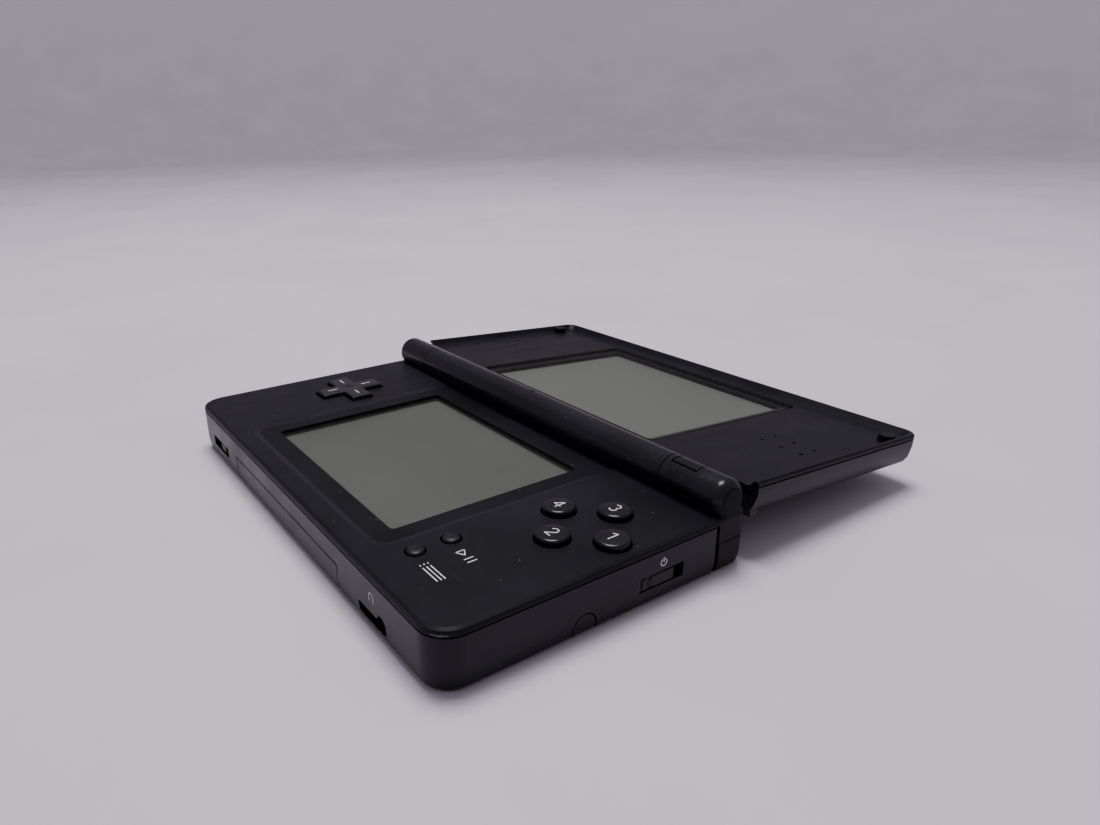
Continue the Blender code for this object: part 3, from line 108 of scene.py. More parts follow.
class Finish:
    """A material with a Principled shader, and short ways to add nodes to it."""

    def __init__(self, name, colour, roughness, **values):
        self.material = bpy.data.materials.new(name)
        self.material.use_nodes = True
        self.tree = self.material.node_tree
        self.shader = self.tree.nodes["Principled BSDF"]
        self.set("Base Color", (*colour, 1.0))
        self.set("Roughness", roughness)
        for socket, value in values.items():
            self.set(socket.replace("_", " "), value)
        self.place = self.node("ShaderNodeTexCoord").outputs["Object"]

    def set(self, socket, value):
        self.shader.inputs[socket].default_value = value

    def node(self, kind, **links):
        """A node, with sockets given by name as values or as other nodes' outputs."""
        made = self.tree.nodes.new(kind)
        for socket, value in links.items():
            socket = made.inputs[int(socket[1:]) if socket[0] == "n" and socket[1:].isdigit() else
                                 socket.replace("_", " ")]
            if isinstance(value, bpy.types.NodeSocket):
                self.tree.links.new(value, socket)
            else:
                socket.default_value = value
        return made

    def maths(self, operation, first, second=0.0, clamp=False):
        made = self.node("ShaderNodeMath", n0=first, n1=second)
        made.operation = operation
        made.use_clamp = clamp
        return made.outputs[0]

    def vector_maths(self, operation, first, *second):
        made = self.node("ShaderNodeVectorMath", n0=first,
                         **{f"n{index}": value for index, value in enumerate(second, 1)})
        made.operation = operation
        return made.outputs

    def stretch(self, scale, turn=(0.0, 0.0, 0.0)):
        """Object coordinates, turned and scaled."""
        return self.node("ShaderNodeMapping", Vector=self.place, Scale=scale,
                         Rotation=turn).outputs["Vector"]

    def noise(self, scale, detail=2.0, rough=0.5, place=None):
        made = self.node("ShaderNodeTexNoise", Vector=place or self.place, Scale=scale,
                         Detail=detail, Roughness=rough)
        return made.outputs["Fac"]

    def cells(self, scale):
        return self.node("ShaderNodeTexVoronoi", Vector=self.place, Scale=scale)

    def span(self, value, low, high, to_low=0.0, to_high=1.0):
        """A value stretched from one range to another, and kept in it."""
        made = self.node("ShaderNodeMapRange", Value=value)
        made.inputs["From Min"].default_value = low
        made.inputs["From Max"].default_value = high
        made.inputs["To Min"].default_value = to_low
        made.inputs["To Max"].default_value = to_high
        return made.outputs["Result"]

    def blend(self, share, first, second):
        """A mix of two colours, each a triple or a socket."""
        made = self.tree.nodes.new("ShaderNodeMix")
        made.data_type = "RGBA"
        for index, value in ((0, share), (6, first), (7, second)):
            socket = made.inputs[index]
            if isinstance(value, bpy.types.NodeSocket):
                self.tree.links.new(value, socket)
            else:
                socket.default_value = (*value, 1.0) if isinstance(value, tuple) else value
        return made.outputs[2]

    def feed(self, socket, value):
        self.tree.links.new(value, self.shader.inputs[socket])

    def bump(self, height, depth, strength=1.0):
        """Bump of a depth in metres, on top of any bump set before."""
        made = self.node("ShaderNodeBump", Height=height, Strength=strength, Distance=depth)
        linked = self.shader.inputs["Normal"].links
        if linked:
            self.tree.links.new(linked[0].from_socket, made.inputs["Normal"])
        self.feed("Normal", made.outputs["Normal"])

    def edges(self, radius):
        """1 on outer edges and 0 on flat faces."""
        soft = self.node("ShaderNodeBevel", Radius=radius)
        soft.samples = 4
        true = self.node("ShaderNodeNewGeometry")
        dot = self.vector_maths("DOT_PRODUCT", soft.outputs[0], true.outputs["Normal"])
        return self.span(dot["Value"], 0.985, 0.9)


def scratches(made, shift):
    """Fine straight scratches, in some places only."""
    place = made.stretch(SCRATCH_STRETCH, (0.2, 0.35, 0.5 + shift))
    lines = made.span(made.noise(1.0, 1.0, 0.4, place), 0.74, 0.8)
    return made.maths("MULTIPLY", lines, made.span(made.noise(55.0, 1.0), 0.5, 0.62))


def specks(made):
    """A few specks of dust."""
    cells = made.cells(DUST_CELLS)
    size = made.span(cells.outputs["Distance"], 0.16, 0.07)
    pick = made.node("ShaderNodeSeparateColor", Color=cells.outputs["Color"])
    return made.maths("MULTIPLY", size, made.span(pick.outputs[0], 0.965, 0.975))


def add_scuff(made, sharp, scratch, edge, place, reach, bare):
    """Rubbing and bared edges within a reach of a place."""
    away = made.vector_maths("DISTANCE", made.place, place)
    near = made.span(away["Value"], reach, reach * 0.3)
    rubbed = made.span(made.noise(650.0, 5.0, 0.7), 0.56, 0.68)
    bared = made.maths("MULTIPLY", made.maths("MULTIPLY", sharp, near), bare)
    return (made.maths("MAXIMUM", scratch, made.maths("MULTIPLY", near, rubbed)),
            made.maths("MAXIMUM", edge, bared))


def add_streak(made, edge, place, spread):
    """A worn streak at a place, with its half lengths in x, y and z."""
    away = made.vector_maths("SUBTRACT", made.place, place)
    evened = made.vector_maths("MULTIPLY", away["Vector"], tuple(1.0 / part for part in spread))
    length = made.vector_maths("LENGTH", evened["Vector"])
    grain = made.span(made.noise(1500.0, 3.0), 0.4, 0.7, 0.0, 0.5)
    broken = made.maths("ADD", length["Value"], grain)
    return made.maths("MAXIMUM", edge, made.span(broken, 1.0, 0.7))


def moulded(name, colour, roughness, grain, wear=0.35, shift=0.0, gloss=0.5, scuffs=(),
            streaks=()):
    """Moulded plastic: grain, handling marks, fine scratches, dust and worn edges."""
    made = Finish(name, colour, roughness)
    made.set("Specular IOR Level", gloss)
    patches = made.noise(38.0, 3.0, 0.55, made.stretch((1.0, 1.0, 1.0), (0.3, 0.2, shift)))
    smears = made.noise(160.0, 4.0, 0.6, made.stretch((1.0, 0.35, 1.0), (0.0, 0.0, 0.6 + shift)))
    fine = made.noise(grain, 2.0, 0.6)
    scratch = scratches(made, shift)
    sharp = made.edges(WORN_EDGE)
    edge = made.maths("MULTIPLY", sharp, made.span(smears, 0.42, 0.66))
    edge = made.maths("MULTIPLY", edge, wear)
    for scuff in scuffs:
        scratch, edge = add_scuff(made, sharp, scratch, edge, *scuff)
    for streak in streaks:
        edge = add_streak(made, edge, *streak)
    lighter = tuple(part * 1.45 + 0.0015 for part in colour)
    tone = made.blend(made.span(patches, 0.35, 0.7), colour, lighter)
    tone = made.blend(made.maths("MULTIPLY", scratch, 0.2), tone, WORN_COLOUR)
    tone = made.blend(edge, tone, WORN_COLOUR)
    tone = made.blend(made.maths("MULTIPLY", specks(made), 0.5), tone, DUST_COLOUR)
    made.feed("Base Color", tone)
    rough = made.span(patches, 0.3, 0.7, roughness - 0.05, roughness + 0.06)
    rough = made.maths("ADD", rough, made.span(smears, 0.35, 0.7, -0.03, 0.05))
    rough = made.maths("ADD", rough, made.maths("MULTIPLY", scratch, 0.12), True)
    made.feed("Roughness", rough)
    made.bump(fine, 0.000012, 0.6)
    made.bump(scratch, 0.00001, 0.25)
    return made.material


def soften(node):
    """Smooth shading and a fine rounding of a node's hard edges."""
    mesh = node.data
    if "custom_normal" in mesh.attributes:
        mesh.attributes.remove(mesh.attributes["custom_normal"])
    mesh.shade_smooth()
    weld = node.modifiers.new("join", "WELD")
    weld.merge_threshold = MERGE
    flat = node.modifiers.new("flatten", "DECIMATE")
    flat.decimate_type = "DISSOLVE"
    flat.angle_limit = math.radians(FLAT_ANGLE)
    edge = node.modifiers.new("edge", "BEVEL")
    edge.limit_method = "ANGLE"
    edge.angle_limit = math.radians(EDGE_ANGLE)
    edge.width = EDGE_WIDTH
    edge.segments = EDGE_STEPS
    edge.miter_outer = "MITER_ARC"
    even = node.modifiers.new("even", "WEIGHTED_NORMAL")
    even.keep_sharp = True


def finish_node(name, material):
    """The node's only material."""
    mesh = nodes[name].data
    mesh.materials.clear()
    mesh.materials.append(material)


deck_black = moulded("deck_black", (0.0042, 0.004, 0.0066), 0.42, 5200.0, gloss=0.095,
                     streaks=CORNER_STREAKS)
# Painted shade: a darker copy of the deck plastic, for the floor of the sunken tray
tray_shade_black = moulded("tray_shade_black", (0.0036, 0.0034, 0.0057), 0.42, 5200.0, 0.0, 0.3, 0.07)
slope_black = moulded("slope_black", (0.004, 0.0038, 0.0064), 0.36, 5200.0, 0.0, 0.5, 0.17)
case_black = moulded("case_black", (0.005, 0.0048, 0.0076), 0.3, 4200.0, 0.5, 0.8, 0.17)
barrel_black = moulded("barrel_black", (0.005, 0.0048, 0.0076), 0.17, 4200.0, 0.12, 0.8, 0.19,
                       BARREL_SCUFFS)
# Painted shade: a darker, duller copy of the case plastic, for the knuckles' flat ends
end_shade_black = moulded("end_shade_black", (0.0038, 0.0036, 0.006), 0.36, 4200.0, 0.05, 0.8, 0.045)
key_black = moulded("key_black", (0.0034, 0.0032, 0.0052), 0.2, 6000.0, 0.04, 1.6, 0.27)
menu_black = moulded("menu_black", (0.0034, 0.0032, 0.0052), 0.42, 6000.0, 0.04, 1.8, 0.2)
slider_grey = moulded("slider_grey", (0.014, 0.014, 0.015), 0.45, 6000.0, 0.2, 2.2, 0.25)
socket_black = moulded("socket_black", (0.006, 0.006, 0.0065), 0.5, 6000.0, 0.0, 2.9)
rubber = moulded("rubber_black", (0.003, 0.003, 0.0035), 0.75, 7000.0, 0.0, 3.3, 0.1)
bumper_black = moulded("bumper_black", (0.0042, 0.004, 0.006), 0.5, 7000.0, 0.0, 3.6, 0.11)
rubber_grey = moulded("rubber_grey", (0.22, 0.22, 0.22), 0.7, 7000.0, 0.0, 3.9)
battery_grey = moulded("battery_grey", (0.1, 0.1, 0.105), 0.45, 4000.0, 0.1, 4.4)


def make_steel():
    made = Finish("metal_steel", (0.55, 0.55, 0.56), 0.3, Metallic=1.0)
    lines = made.noise(1.0, 2.0, 0.5, made.stretch((400.0, 9000.0, 400.0)))
    made.feed("Roughness", made.span(lines, 0.3, 0.7, 0.24, 0.42))
    made.bump(lines, 0.000004, 0.5)
    return made.material


def make_board():
    made = Finish("board_green", (0.01, 0.09, 0.04), 0.35)
    cells = made.cells(450.0)
    tracks = made.span(cells.outputs["Distance"], 0.25, 0.3)
    made.feed("Base Color", made.blend(tracks, (0.02, 0.12, 0.05), (0.008, 0.07, 0.03)))
    made.bump(tracks, 0.00002, 0.5)
    return made.material


def make_display(name, colour, rough):
    """An unlit liquid crystal display: faint cloudiness and a fine cell grid."""
    made = Finish(name, colour, rough)
    made.set("Specular IOR Level", DISPLAY_GLOSS)
    cloud = made.noise(24.0, 2.0)
    tone = made.blend(made.span(cloud, 0.35, 0.65), tuple(0.93 * part for part in colour),
                      tuple(1.06 * part for part in colour))
    made.feed("Base Color", tone)
    rows = made.node("ShaderNodeTexWave", Vector=made.place, Scale=CELL_ROWS)
    made.bump(rows.outputs["Fac"], 0.000002, 0.03)
    made.feed("Roughness", made.span(cloud, 0.3, 0.7, rough - 0.03, rough + 0.04))
    return made.material


def make_clear(name, colour, rough, cover, smear, gloss=0.5):
    """Thin clear plastic with a trace of finger marks. The cover says how much of it is seen."""
    made = Finish(name, colour, rough, IOR=CLEAR_BEND, Alpha=cover)
    made.set("Specular IOR Level", gloss)
    marks = made.noise(90.0, 4.0, 0.6, made.stretch((1.0, 0.6, 1.0), (0.0, 0.0, 0.7)))
    made.feed("Roughness", made.span(marks, 0.35, 0.7, rough, rough + smear))
    made.bump(made.noise(300.0, 2.0), 0.000002, 0.02)
    return made.material


steel = make_steel()
board = make_board()
lower_lcd = make_display("lower_lcd", (0.104, 0.11, 0.098), 0.45)
upper_lcd = make_display("upper_lcd", (0.128, 0.136, 0.12), 0.4)
lens_clear = make_clear("lens_clear", (0.02, 0.02, 0.02), 0.08, 0.1, 0.1)
touch_film = make_clear("touch_film", (0.05, 0.05, 0.05), 0.16, 0.12, 0.1)
lens_smoke = make_clear("lens_smoke", (0.007, 0.0068, 0.0095), 0.2, 1.0, 0.05, 0.19)

FINISHES = {
    "base_lower_shell": case_black, "base_upper_shell": deck_black,
    "lid_inner_shell": deck_black, "lid_outer_shell": case_black,
    "battery_cover": case_black, "cartridge_cover": case_black,
    "direction_pad": key_black, "shoulder_button_left": deck_black,
    "shoulder_button_right": deck_black, "stylus": case_black,
    "face_button_left": key_black, "face_button_lower": key_black,
    "face_button_right": key_black, "face_button_upper": key_black,
    "menu_button_front": menu_black, "menu_button_rear": menu_black,
    "volume_slider": slider_grey, "power_slider": case_black,
    "hinge_bush": slider_grey, "pad_nub": slider_grey,
    "upper_glass": lens_clear, "touch_panel": touch_film,
    "indicator_window": lens_smoke, "upper_display": upper_lcd, "lower_display": lower_lcd,
    "main_board": board, "wireless_board": board, "battery": battery_grey,
    "face_membrane": rubber_grey, "menu_membrane": rubber_grey, "pad_membrane": rubber_grey,
    "rubber_foot_left": rubber, "rubber_foot_right": rubber,
    "lid_bumper_left": bumper_black, "lid_bumper_right": bumper_black,
    "card_reader": socket_black, "cartridge_reader": socket_black,
    "charging_socket": socket_black, "headphone_socket": socket_black,
    "volume_control": socket_black, "speaker_left": socket_black, "speaker_right": socket_black,
    "battery_cover_screw": steel, "hinge_clutch": steel, "microphone": steel,
    "power_switch": steel, "shoulder_pin_left": steel, "shoulder_pin_right": steel,
}
for node_name, node in nodes.items():
    finish_node(node_name, FINISHES[node_name])
    if node_name != "upper_glass":
        soften(node)


def raise_face(node):
    """Grows a display by a hair along its normals. Its face stays clear of the piece over it."""
    lift = node.modifiers.new("lift", "DISPLACE")
    lift.strength = DISPLAY_LIFT
    lift.mid_level = 0.0


for display in ("upper_display", "lower_display"):
    raise_face(nodes[display])


def finish_part(name, material, chosen):
    """One more material, on the node's faces that are chosen by middle and normal."""
    mesh = nodes[name].data
    mesh.materials.append(material)
    for polygon in mesh.polygons:
        if chosen(polygon.center / MM, polygon.normal):
            polygon.material_index = len(mesh.materials) - 1


def on_barrel(middle, normal):
    return math.hypot(middle.y - LID_AXIS[1], middle.z - LID_AXIS[2]) < BARREL_REACH


def on_knuckle(middle, normal):
    return middle.z > LID_AXIS[2] and middle.y > KNUCKLE_FRONT


def on_knuckle_end(middle, normal):
    return middle.z > KNUCKLE_FOOT and middle.y > KNUCKLE_FRONT and abs(normal.x) > END_FACING


def in_tray(middle):
    return abs(middle.x) < TRAY_HALF and TRAY_FRONT < middle.y < TRAY_REAR


def on_tray_floor(middle, normal):
    return in_tray(middle) and abs(middle.z - TRAY_FLOOR) < FLAT


def on_tray_slope(middle, normal):
    return in_tray(middle) and TRAY_FLOOR + FLAT < middle.z < DECK - FLAT


finish_part("lid_outer_shell", barrel_black, on_barrel)
finish_part("base_upper_shell", barrel_black, on_knuckle)
# The knuckles' flat ends take the darker copy, as painted shade
finish_part("base_upper_shell", end_shade_black, on_knuckle_end)
# The tray floor takes the darker copy, as painted shade in the recess
finish_part("base_upper_shell", tray_shade_black, on_tray_floor)
finish_part("base_upper_shell", slope_black, on_tray_slope)


def lid_point(x, along, above):
    """A point given on the lid, across, from the hinge and up from the axis, in mm."""
    turned = Matrix.Rotation(math.radians(LID_DROOP), 3, "X") @ Vector((x, along, above))
    return (Vector(LID_AXIS) + turned) * MM


def solid(name, points, faces, material, body):
    """A piece of the scene from points in metres and faces."""
    mesh = bpy.data.meshes.new(name)
    work = bmesh.new()
    corners = [work.verts.new(point) for point in points]
    for face in faces:
        work.faces.new([corners[index] for index in face])
    bmesh.ops.recalc_face_normals(work, faces=work.faces)
    work.to_mesh(mesh)
    work.free()
    mesh.materials.append(material)
    piece = bpy.data.objects.new(name, mesh)
    bpy.context.scene.collection.objects.link(piece)
    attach(piece, body)
    return piece


def arc(centre, radius, start, end, steps=14):
    """Points along an arc, angles in degrees."""
    angles = [math.radians(start + (end - start) * step / steps) for step in range(steps + 1)]
    return [(centre[0] + radius * math.cos(angle), centre[1] + radius * math.sin(angle))
            for angle in angles]


def fine_line(points):
    """The same line with no step longer than the line's step."""
    made = [Vector(points[0])]
    for point in points[1:]:
        start = made[-1]
        end = Vector(point)
        count = max(1, math.ceil((end - start).length / LINE_STEP))
        made += [start.lerp(end, step / count) for step in range(1, count + 1)]
    return made


def ribbon(points, width):
    """Left and right edges of a line of a width, mitred, with its ends a little drawn out."""
    line = fine_line(points)
    line[0] += (line[0] - line[1]).normalized() * width * LINE_OVERRUN
    line[-1] += (line[-1] - line[-2]).normalized() * width * LINE_OVERRUN
    sides = ([], [])
    for index, point in enumerate(line):
        before = line[max(index - 1, 0)]
        after = line[min(index + 1, len(line) - 1)]
        ahead = (after - before).normalized()
        across = Vector((-ahead.y, ahead.x))
        sides[0].append(point + across * width / 2)
        sides[1].append(point - across * width / 2)
    return sides


def surface_of(node):
    mesh = nodes[node].data
    return BVHTree.FromPolygons([vertex.co for vertex in mesh.vertices],
                                [polygon.vertices for polygon in mesh.polygons])


def lay_print_and_shadow_lines(name, lines, place, axes, node, body, width=LINE_WIDTH, material=None):
    """Thin printed lines, and painted shadow lines, laid on a node's surface. Sizes in mm, axes are
    right and up.
    """
    right, up = (Vector(axis) for axis in axes)
    out = right.cross(up)
    surface = surface_of(node)
    origin = Vector(place)
    points = []
    faces = []
    for line in lines:
        left, other = ribbon(line, width)
        first = len(points)
        for pair in zip(left, other):
            for flat in pair:
                start = (origin + right * flat.x + up * flat.y + out * CAST_LENGTH) * MM
                hit = surface.ray_cast(start, -out, 2 * CAST_LENGTH * MM)[0]
                if hit is None:
                    hit = start - out * CAST_LENGTH * MM
                points.append(hit + out * LINE_HEIGHT * MM)
                points.append(hit - out * LINE_SINK * MM)
        count = len(left)
        for step in range(count - 1):
            a = first + step * 4
            b = a + 4
            faces += [(a, b, b + 2, a + 2), (a + 1, a + 3, b + 3, b + 1),
                      (a, a + 1, b + 1, b), (a + 2, b + 2, b + 3, a + 3)]
        last = first + (count - 1) * 4
        faces += [(first, first + 2, first + 3, first + 1), (last, last + 1, last + 3, last + 2)]
    return solid(name, points, faces, material or ink_white, body)


def make_ink():
    made = Finish("ink_white", (0.62, 0.62, 0.63), 0.5)
    worn = made.span(made.noise(900.0, 3.0), 0.3, 0.6)
    made.feed("Base Color", made.blend(worn, (0.42, 0.42, 0.43), (0.68, 0.68, 0.69)))
    made.bump(made.noise(5000.0), 0.000006, 0.4)
    return made.material


ink_white = make_ink()
# Black print, also used as painted shade: the strip in the seam between the shells and the line
# round the dust cover
print_and_shade_black = moulded("print_and_shade_black", (0.003, 0.003, 0.0035), 0.35, 6000.0, 0.0, 5.2, 0.2)
LEVEL = ((1.0, 0.0, 0.0), (0.0, 1.0, 0.0))
RIGHT_WALL = ((0.0, 1.0, 0.0), (0.0, 0.0, 1.0))
FRONT_WALL = ((1.0, 0.0, 0.0), (0.0, 0.0, 1.0))

# Numerals on the face buttons
NUMERALS = {
    "1": [[(-0.28, 0.3), (0.06, 0.5), (0.06, -0.5)]],
    "2": [arc((0.0, 0.2), 0.3, 165, -35, 12) + [(-0.3, -0.5), (0.32, -0.5)]],
    "3": [arc((-0.02, 0.24), 0.26, 140, -75, 12) + arc((-0.02, -0.23), 0.28, 75, -145, 12)],
    "4": [[(0.16, -0.5), (0.16, 0.5), (-0.34, -0.18), (0.36, -0.18)]],
}
NUMERAL_HEIGHT = 2.65
NUMERAL_STROKE = 0.25
KEY_CENTRE = (52.9, 4.9)
KEY_ARM = 8.0
KEY_TOP = 14.4
KEYS = {"right": ("1", 1, 0), "lower": ("2", 0, -1), "upper": ("3", 0, 1), "left": ("4", -1, 0)}
for key, (numeral, x_step, y_step) in KEYS.items():
    glyph = [[(x * NUMERAL_HEIGHT, y * NUMERAL_HEIGHT) for x, y in line]
             for line in NUMERALS[numeral]]
    spot = (KEY_CENTRE[0] + KEY_ARM * x_step, KEY_CENTRE[1] + KEY_ARM * y_step, KEY_TOP)
    lay_print_and_shadow_lines(f"numeral_{key}", glyph, spot, LEVEL, f"face_button_{key}", f"face_{key}",
        NUMERAL_STROKE)

# Ticks on the arms of the direction pad
PAD_CENTRE = (-49.0, 1.7, 14.0)
TICK = (3.9, 6.6)
TICK_STROKE = 0.28
ticks = [[(TICK[0] * x, TICK[0] * y), (TICK[1] * x, TICK[1] * y)]
         for x, y in ((1, 0), (-1, 0), (0, 1), (0, -1))]
lay_print_and_shadow_lines("pad_ticks", ticks, PAD_CENTRE, LEVEL, "direction_pad", "pad", TICK_STROKE)

# Marks beside the menu buttons: a triangle with two bars, and the rows of a list
REAR_MARK = (46.6, -19.8, 12.9)
FRONT_MARK = (46.6, -27.5, 12.9)
MENU_STROKE = 0.22
triangle = [[(0.0, -0.95), (1.75, 0.0), (0.0, 0.95), (0.0, -0.95)],
            [(3.0, -0.95), (3.0, 0.95)], [(4.2, -0.95), (4.2, 0.95)]]
rows = [line for y in (-0.8, 0.0, 0.8)
        for line in ([(0.0, y), (0.25, y)], [(1.1, y), (6.2, y)])]
lay_print_and_shadow_lines("menu_mark_rear", triangle, REAR_MARK, LEVEL, "base_upper_shell", "base", MENU_STROKE)
lay_print_and_shadow_lines("menu_mark_front", rows, FRONT_MARK, LEVEL, "base_upper_shell", "base", MENU_STROKE)

# Pictograms over the power slider and the headphone socket
POWER_MARK = (66.5, 13.0, 8.75)
PHONES_MARK = (43.6, -36.95, 7.9)
WALL_STROKE = 0.2
power_mark = [arc((0.0, 0.0), 0.75, 125, 415, 22), [(0.0, 0.1), (0.0, 1.0)]]
phones = [[(-0.8, -0.95), (-0.8, -0.3)] + arc((0.0, 0.0), 0.85, 180, 0, 16)
          + [(0.8, -0.3), (0.8, -0.95)]]
lay_print_and_shadow_lines("power_mark", power_mark, POWER_MARK, RIGHT_WALL, "base_lower_shell", "base", WALL_STROKE)
lay_print_and_shadow_lines("phones_mark", phones, PHONES_MARK, FRONT_WALL, "base_lower_shell", "base", WALL_STROKE)

# Painted shadow line round the dust cover, laid in black on the shell's side of the groove
COVER_SPAN = (-34.7, 28.0)
COVER_TOP = 6.7
COVER_FOOT = 1.2
COVER_FRONT = (0.0, -36.95, 0.0)
GROOVE = 0.3
SEAM_WIDTH = 0.3
seam_reach = GROOVE + SEAM_WIDTH / 2
seam_left = COVER_SPAN[0] - seam_reach
seam_right = COVER_SPAN[1] + seam_reach
seam_top = COVER_TOP + seam_reach
cover_seam_shadow = [[(seam_left, COVER_FOOT), (seam_left, seam_top), (seam_right, seam_top),
               (seam_right, COVER_FOOT)]]
lay_print_and_shadow_lines("cover_seam_shadow", cover_seam_shadow, COVER_FRONT, FRONT_WALL, "base_lower_shell", "base", SEAM_WIDTH,
    print_and_shade_black)

# Painted shade: a black strip deep in the seam between the shells, along the front and both sides
CASE_HALF = 66.5
CASE_FRONT = -36.95
CASE_RADIUS = 6.0
STRIP_INSETS = (0.4, 1.4)
STRIP_LEVELS = (11.1, 11.55)
STRIP_REAR = 24.0


def make_seam_shade_strip():
    rings = []
    for inset in STRIP_INSETS:
        radius = CASE_RADIUS - inset
        x = CASE_HALF - inset
        middle = CASE_FRONT + CASE_RADIUS
        path = [(x, STRIP_REAR)] + arc((x - radius, middle), radius, 0, -90)
        path += arc((radius - x, middle), radius, -90, -180) + [(-x, STRIP_REAR)]
        rings += [[Vector((*point, level)) * MM for point in path] for level in STRIP_LEVELS]
    count = len(rings[0])
    faces = [(0, count, 3 * count, 2 * count),
             (count - 1, 3 * count - 1, 4 * count - 1, 2 * count - 1)]
    for first, second in ((0, 1), (1, 3), (3, 2), (2, 0)):
        faces += [(first * count + step, second * count + step, second * count + step + 1,
                   first * count + step + 1) for step in range(count - 1)]
    points = [point for ring in rings for point in ring]
    solid("seam_shade_strip", points, faces, print_and_shade_black, "base")


make_seam_shade_strip()


def rounded(width, height, radius, steps=6):
    """A rounded rectangle about the origin, in order round it."""
    points = []
    for x_side, y_side, start in ((1, 1, 0), (-1, 1, 90), (-1, -1, 180), (1, -1, 270)):
        centre = (x_side * (width / 2 - radius), y_side * (height / 2 - radius))
        points += arc(centre, radius, start, start + 90, steps)
    return points


# Power slider's cap, flush with the wall, in two parts beside its ridge
CAP_PARTS = {"power_cap_front": (7.75, 9.05), "power_cap_rear": (9.95, 15.85)}
CAP_MIDDLE = 5.45
CAP_HEIGHT = 2.4
CAP_RADIUS = 0.3
CAP_LEVELS = ((66.05, 0.0), (66.38, 0.0), (66.47, 0.09))


def make_power_cap(name, low, high):
    """A part of the cap, from rings of an outline at places across and their insets."""
    rings = []
    for x, inset in CAP_LEVELS:
        outline = rounded(high - low - 2 * inset, CAP_HEIGHT - 2 * inset, CAP_RADIUS - inset / 2)
        rings.append([Vector((x, y + (low + high) / 2, z + CAP_MIDDLE)) * MM for y, z in outline])
    count = len(rings[0])
    faces = [tuple(range(count)), tuple(range(2 * count, 3 * count))]
    for ring in (0, 1):
        for step in range(count):
            after = (step + 1) % count
            faces.append((ring * count + step, ring * count + after,
                          (ring + 1) * count + after, (ring + 1) * count + step))
    points = [point for ring in rings for point in ring]
    solid(name, points, faces, case_black, "power")


for part_name, part_span in CAP_PARTS.items():
    make_power_cap(part_name, *part_span)


def make_glass_border():
    """The black print under the upper glass, round its window."""
    outer = rounded(*GLASS_SPAN, GLASS_RADIUS)
    inner = rounded(*WINDOW_SPAN, WINDOW_RADIUS)
    count = len(outer)
    points = [lid_point(x, y + SCREEN_MIDDLE, level) for level in PRINT_LEVELS
              for ring in (outer, inner) for x, y in ring]
    faces = []
    for index in range(count):
        after = (index + 1) % count
        corners = [ring * count + step for ring in range(4) for step in (index, after)]
        out_low, out_low_b, in_low, in_low_b, out_high, out_high_b, in_high, in_high_b = corners
        faces += [(out_low, out_low_b, in_low_b, in_low),
                  (out_high, in_high, in_high_b, out_high_b),
                  (out_low, out_high, out_high_b, out_low_b),
                  (in_low, in_low_b, in_high_b, in_high)]
    solid("upper_glass_border", points, faces, print_and_shade_black, "lid")


def blacken_glass_sides():
    """The glass keeps its clear faces, and its thin sides take the black of the print."""
    mesh = nodes["upper_glass"].data
    mesh.materials.append(print_and_shade_black)
    face_normal = Matrix.Rotation(math.radians(LID_DROOP), 3, "X") @ Vector((0.0, 0.0, 1.0))
    for polygon in mesh.polygons:
        if abs(polygon.normal.dot(face_normal)) < GLASS_FACING:
            polygon.material_index = 1


make_glass_border()
blacken_glass_sides()


# Floor, light and world
FLOOR_RINGS = (0.4, 0.9)
FLOOR_REACH = 1.5
BOWL_TURN = 0.6
BOWL_HEIGHT = 1.5
BOWL_SIDES = 96
FLOOR_COLOUR = (0.53, 0.48, 0.56)
FLOOR_DARK = (0.51, 0.46, 0.54)
FLOOR_LIGHT = (0.57, 0.52, 0.605)
WALL_COLOUR = (0.74, 0.705, 0.735)
WALL_BLEND = (0.02, 0.5)
KEY_PLACE = (-0.2, 0.12, 1.2)
KEY_TARGET = (0.0, 0.03, 0.0)
KEY_SIZE = 0.5
KEY_POWER = 18.5
KEY_COLOUR = (1.0, 0.98, 1.0)
SKY_COLOUR = (0.80, 0.775, 0.80, 1.0)
SKY_STRENGTH = 0.55


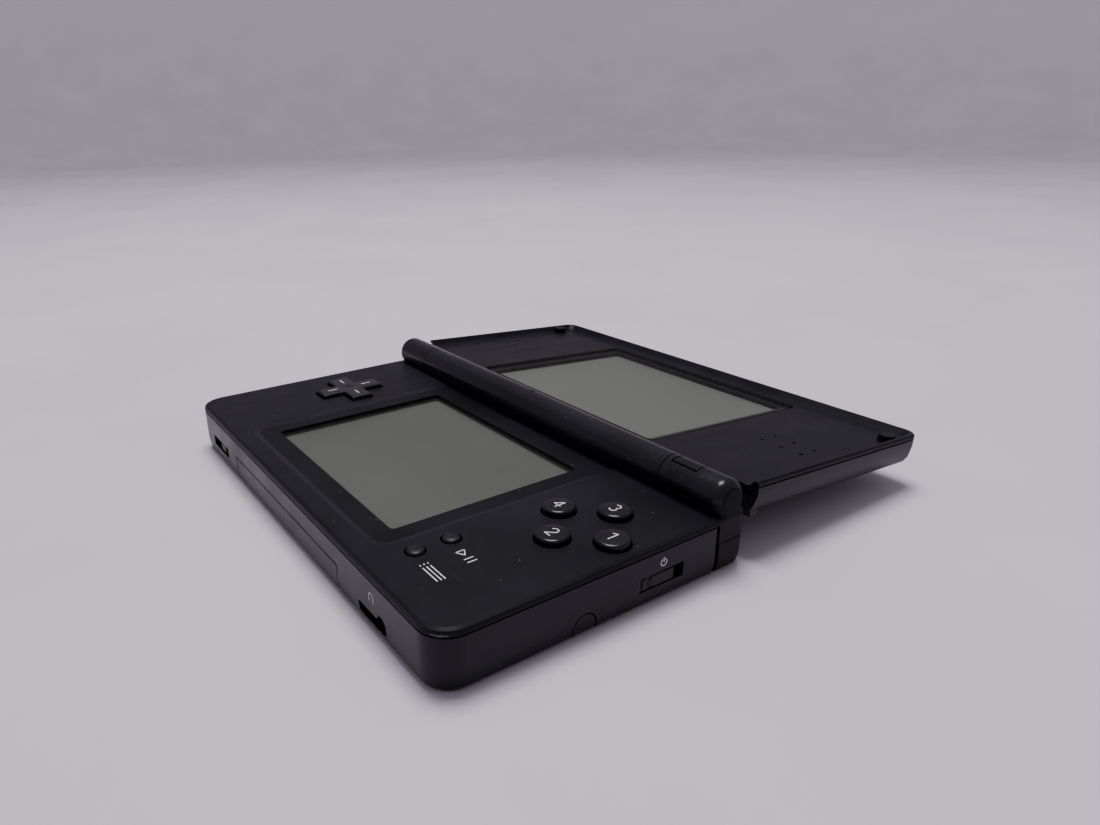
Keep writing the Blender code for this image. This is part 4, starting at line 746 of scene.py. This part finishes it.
def make_floor():
    """A pale floor that curves up into a round studio wall, far outside every camera."""
    profile = [(reach, 0.0) for reach in FLOOR_RINGS]
    profile += [(FLOOR_REACH + x, BOWL_TURN + y)
                for x, y in arc((0.0, 0.0), BOWL_TURN, -90, 0, 12)]
    profile.append((FLOOR_REACH + BOWL_TURN, BOWL_HEIGHT))
    mesh = bpy.data.meshes.new("floor")
    work = bmesh.new()
    rings = [[work.verts.new((0.0, 0.0, 0.0))]]
    for reach, height in profile:
        ring = []
        for side in range(BOWL_SIDES):
            angle = 2 * math.pi * side / BOWL_SIDES
            ring.append(work.verts.new((reach * math.cos(angle), reach * math.sin(angle), height)))
        rings.append(ring)
    for inner, outer in zip(rings, rings[1:]):
        for side in range(BOWL_SIDES):
            after = (side + 1) % BOWL_SIDES
            if len(inner) == 1:
                work.faces.new((inner[0], outer[side], outer[after]))
            else:
                work.faces.new((inner[side], outer[side], outer[after], inner[after]))
    work.to_mesh(mesh)
    work.free()
    mesh.shade_smooth()
    floor = bpy.data.objects.new("floor", mesh)
    bpy.context.scene.collection.objects.link(floor)
    made = Finish("floor_pale", FLOOR_COLOUR, 0.7)
    cloud = made.noise(9.0, 5.0, 0.6)
    tone = made.blend(made.span(cloud, 0.35, 0.65), FLOOR_DARK, FLOOR_LIGHT)
    height = made.node("ShaderNodeSeparateXYZ", Vector=made.place).outputs["Z"]
    made.feed("Base Color", made.blend(made.span(height, *WALL_BLEND), tone, WALL_COLOUR))
    made.bump(made.noise(1200.0, 3.0), 0.00004, 0.4)
    mesh.materials.append(made.material)


def make_key_light():
    """One large soft light overhead."""
    data = bpy.data.lights.new("key", "AREA")
    data.shape = "RECTANGLE"
    data.size = KEY_SIZE
    data.size_y = KEY_SIZE
    data.energy = KEY_POWER
    data.color = KEY_COLOUR
    light = bpy.data.objects.new("key", data)
    bpy.context.scene.collection.objects.link(light)
    light.location = KEY_PLACE
    aim = Vector(KEY_TARGET) - Vector(KEY_PLACE)
    light.rotation_euler = aim.to_track_quat("-Z", "Y").to_euler()


def make_world():
    world = bpy.data.worlds.new("studio")
    world.use_nodes = True
    sky = world.node_tree.nodes["Background"]
    sky.inputs["Color"].default_value = SKY_COLOUR
    sky.inputs["Strength"].default_value = SKY_STRENGTH
    bpy.context.scene.world = world


def make_camera():
    azimuth = math.radians(CAMERA_AZIMUTH)
    down = math.radians(CAMERA_DOWN)
    roll = math.radians(CAMERA_ROLL)
    ahead = Vector((-math.sin(azimuth) * math.cos(down), math.cos(azimuth) * math.cos(down),
                    -math.sin(down)))
    level = Vector((math.cos(azimuth), math.sin(azimuth), 0.0))
    above = level.cross(ahead)
    right = level * math.cos(roll) + above * math.sin(roll)
    up = above * math.cos(roll) - level * math.sin(roll)
    data = bpy.data.cameras.new("camera")
    data.sensor_width = SENSOR_WIDTH
    data.lens = SENSOR_WIDTH * CAMERA_FOCAL / PICTURE[0]
    data.shift_x = (PICTURE[0] / 2 - CAMERA_CENTRE[0]) / PICTURE[0]
    data.shift_y = (CAMERA_CENTRE[1] - PICTURE[1] / 2) / PICTURE[0]
    data.clip_start = CAMERA_CLIP
    camera = bpy.data.objects.new("camera", data)
    bpy.context.scene.collection.objects.link(camera)
    camera.matrix_world = Matrix.Translation(CAMERA_PLACE) @ Matrix(
        (right, up, -ahead)).transposed().to_4x4()
    bpy.context.scene.camera = camera


make_floor()
make_key_light()
make_world()
make_camera()
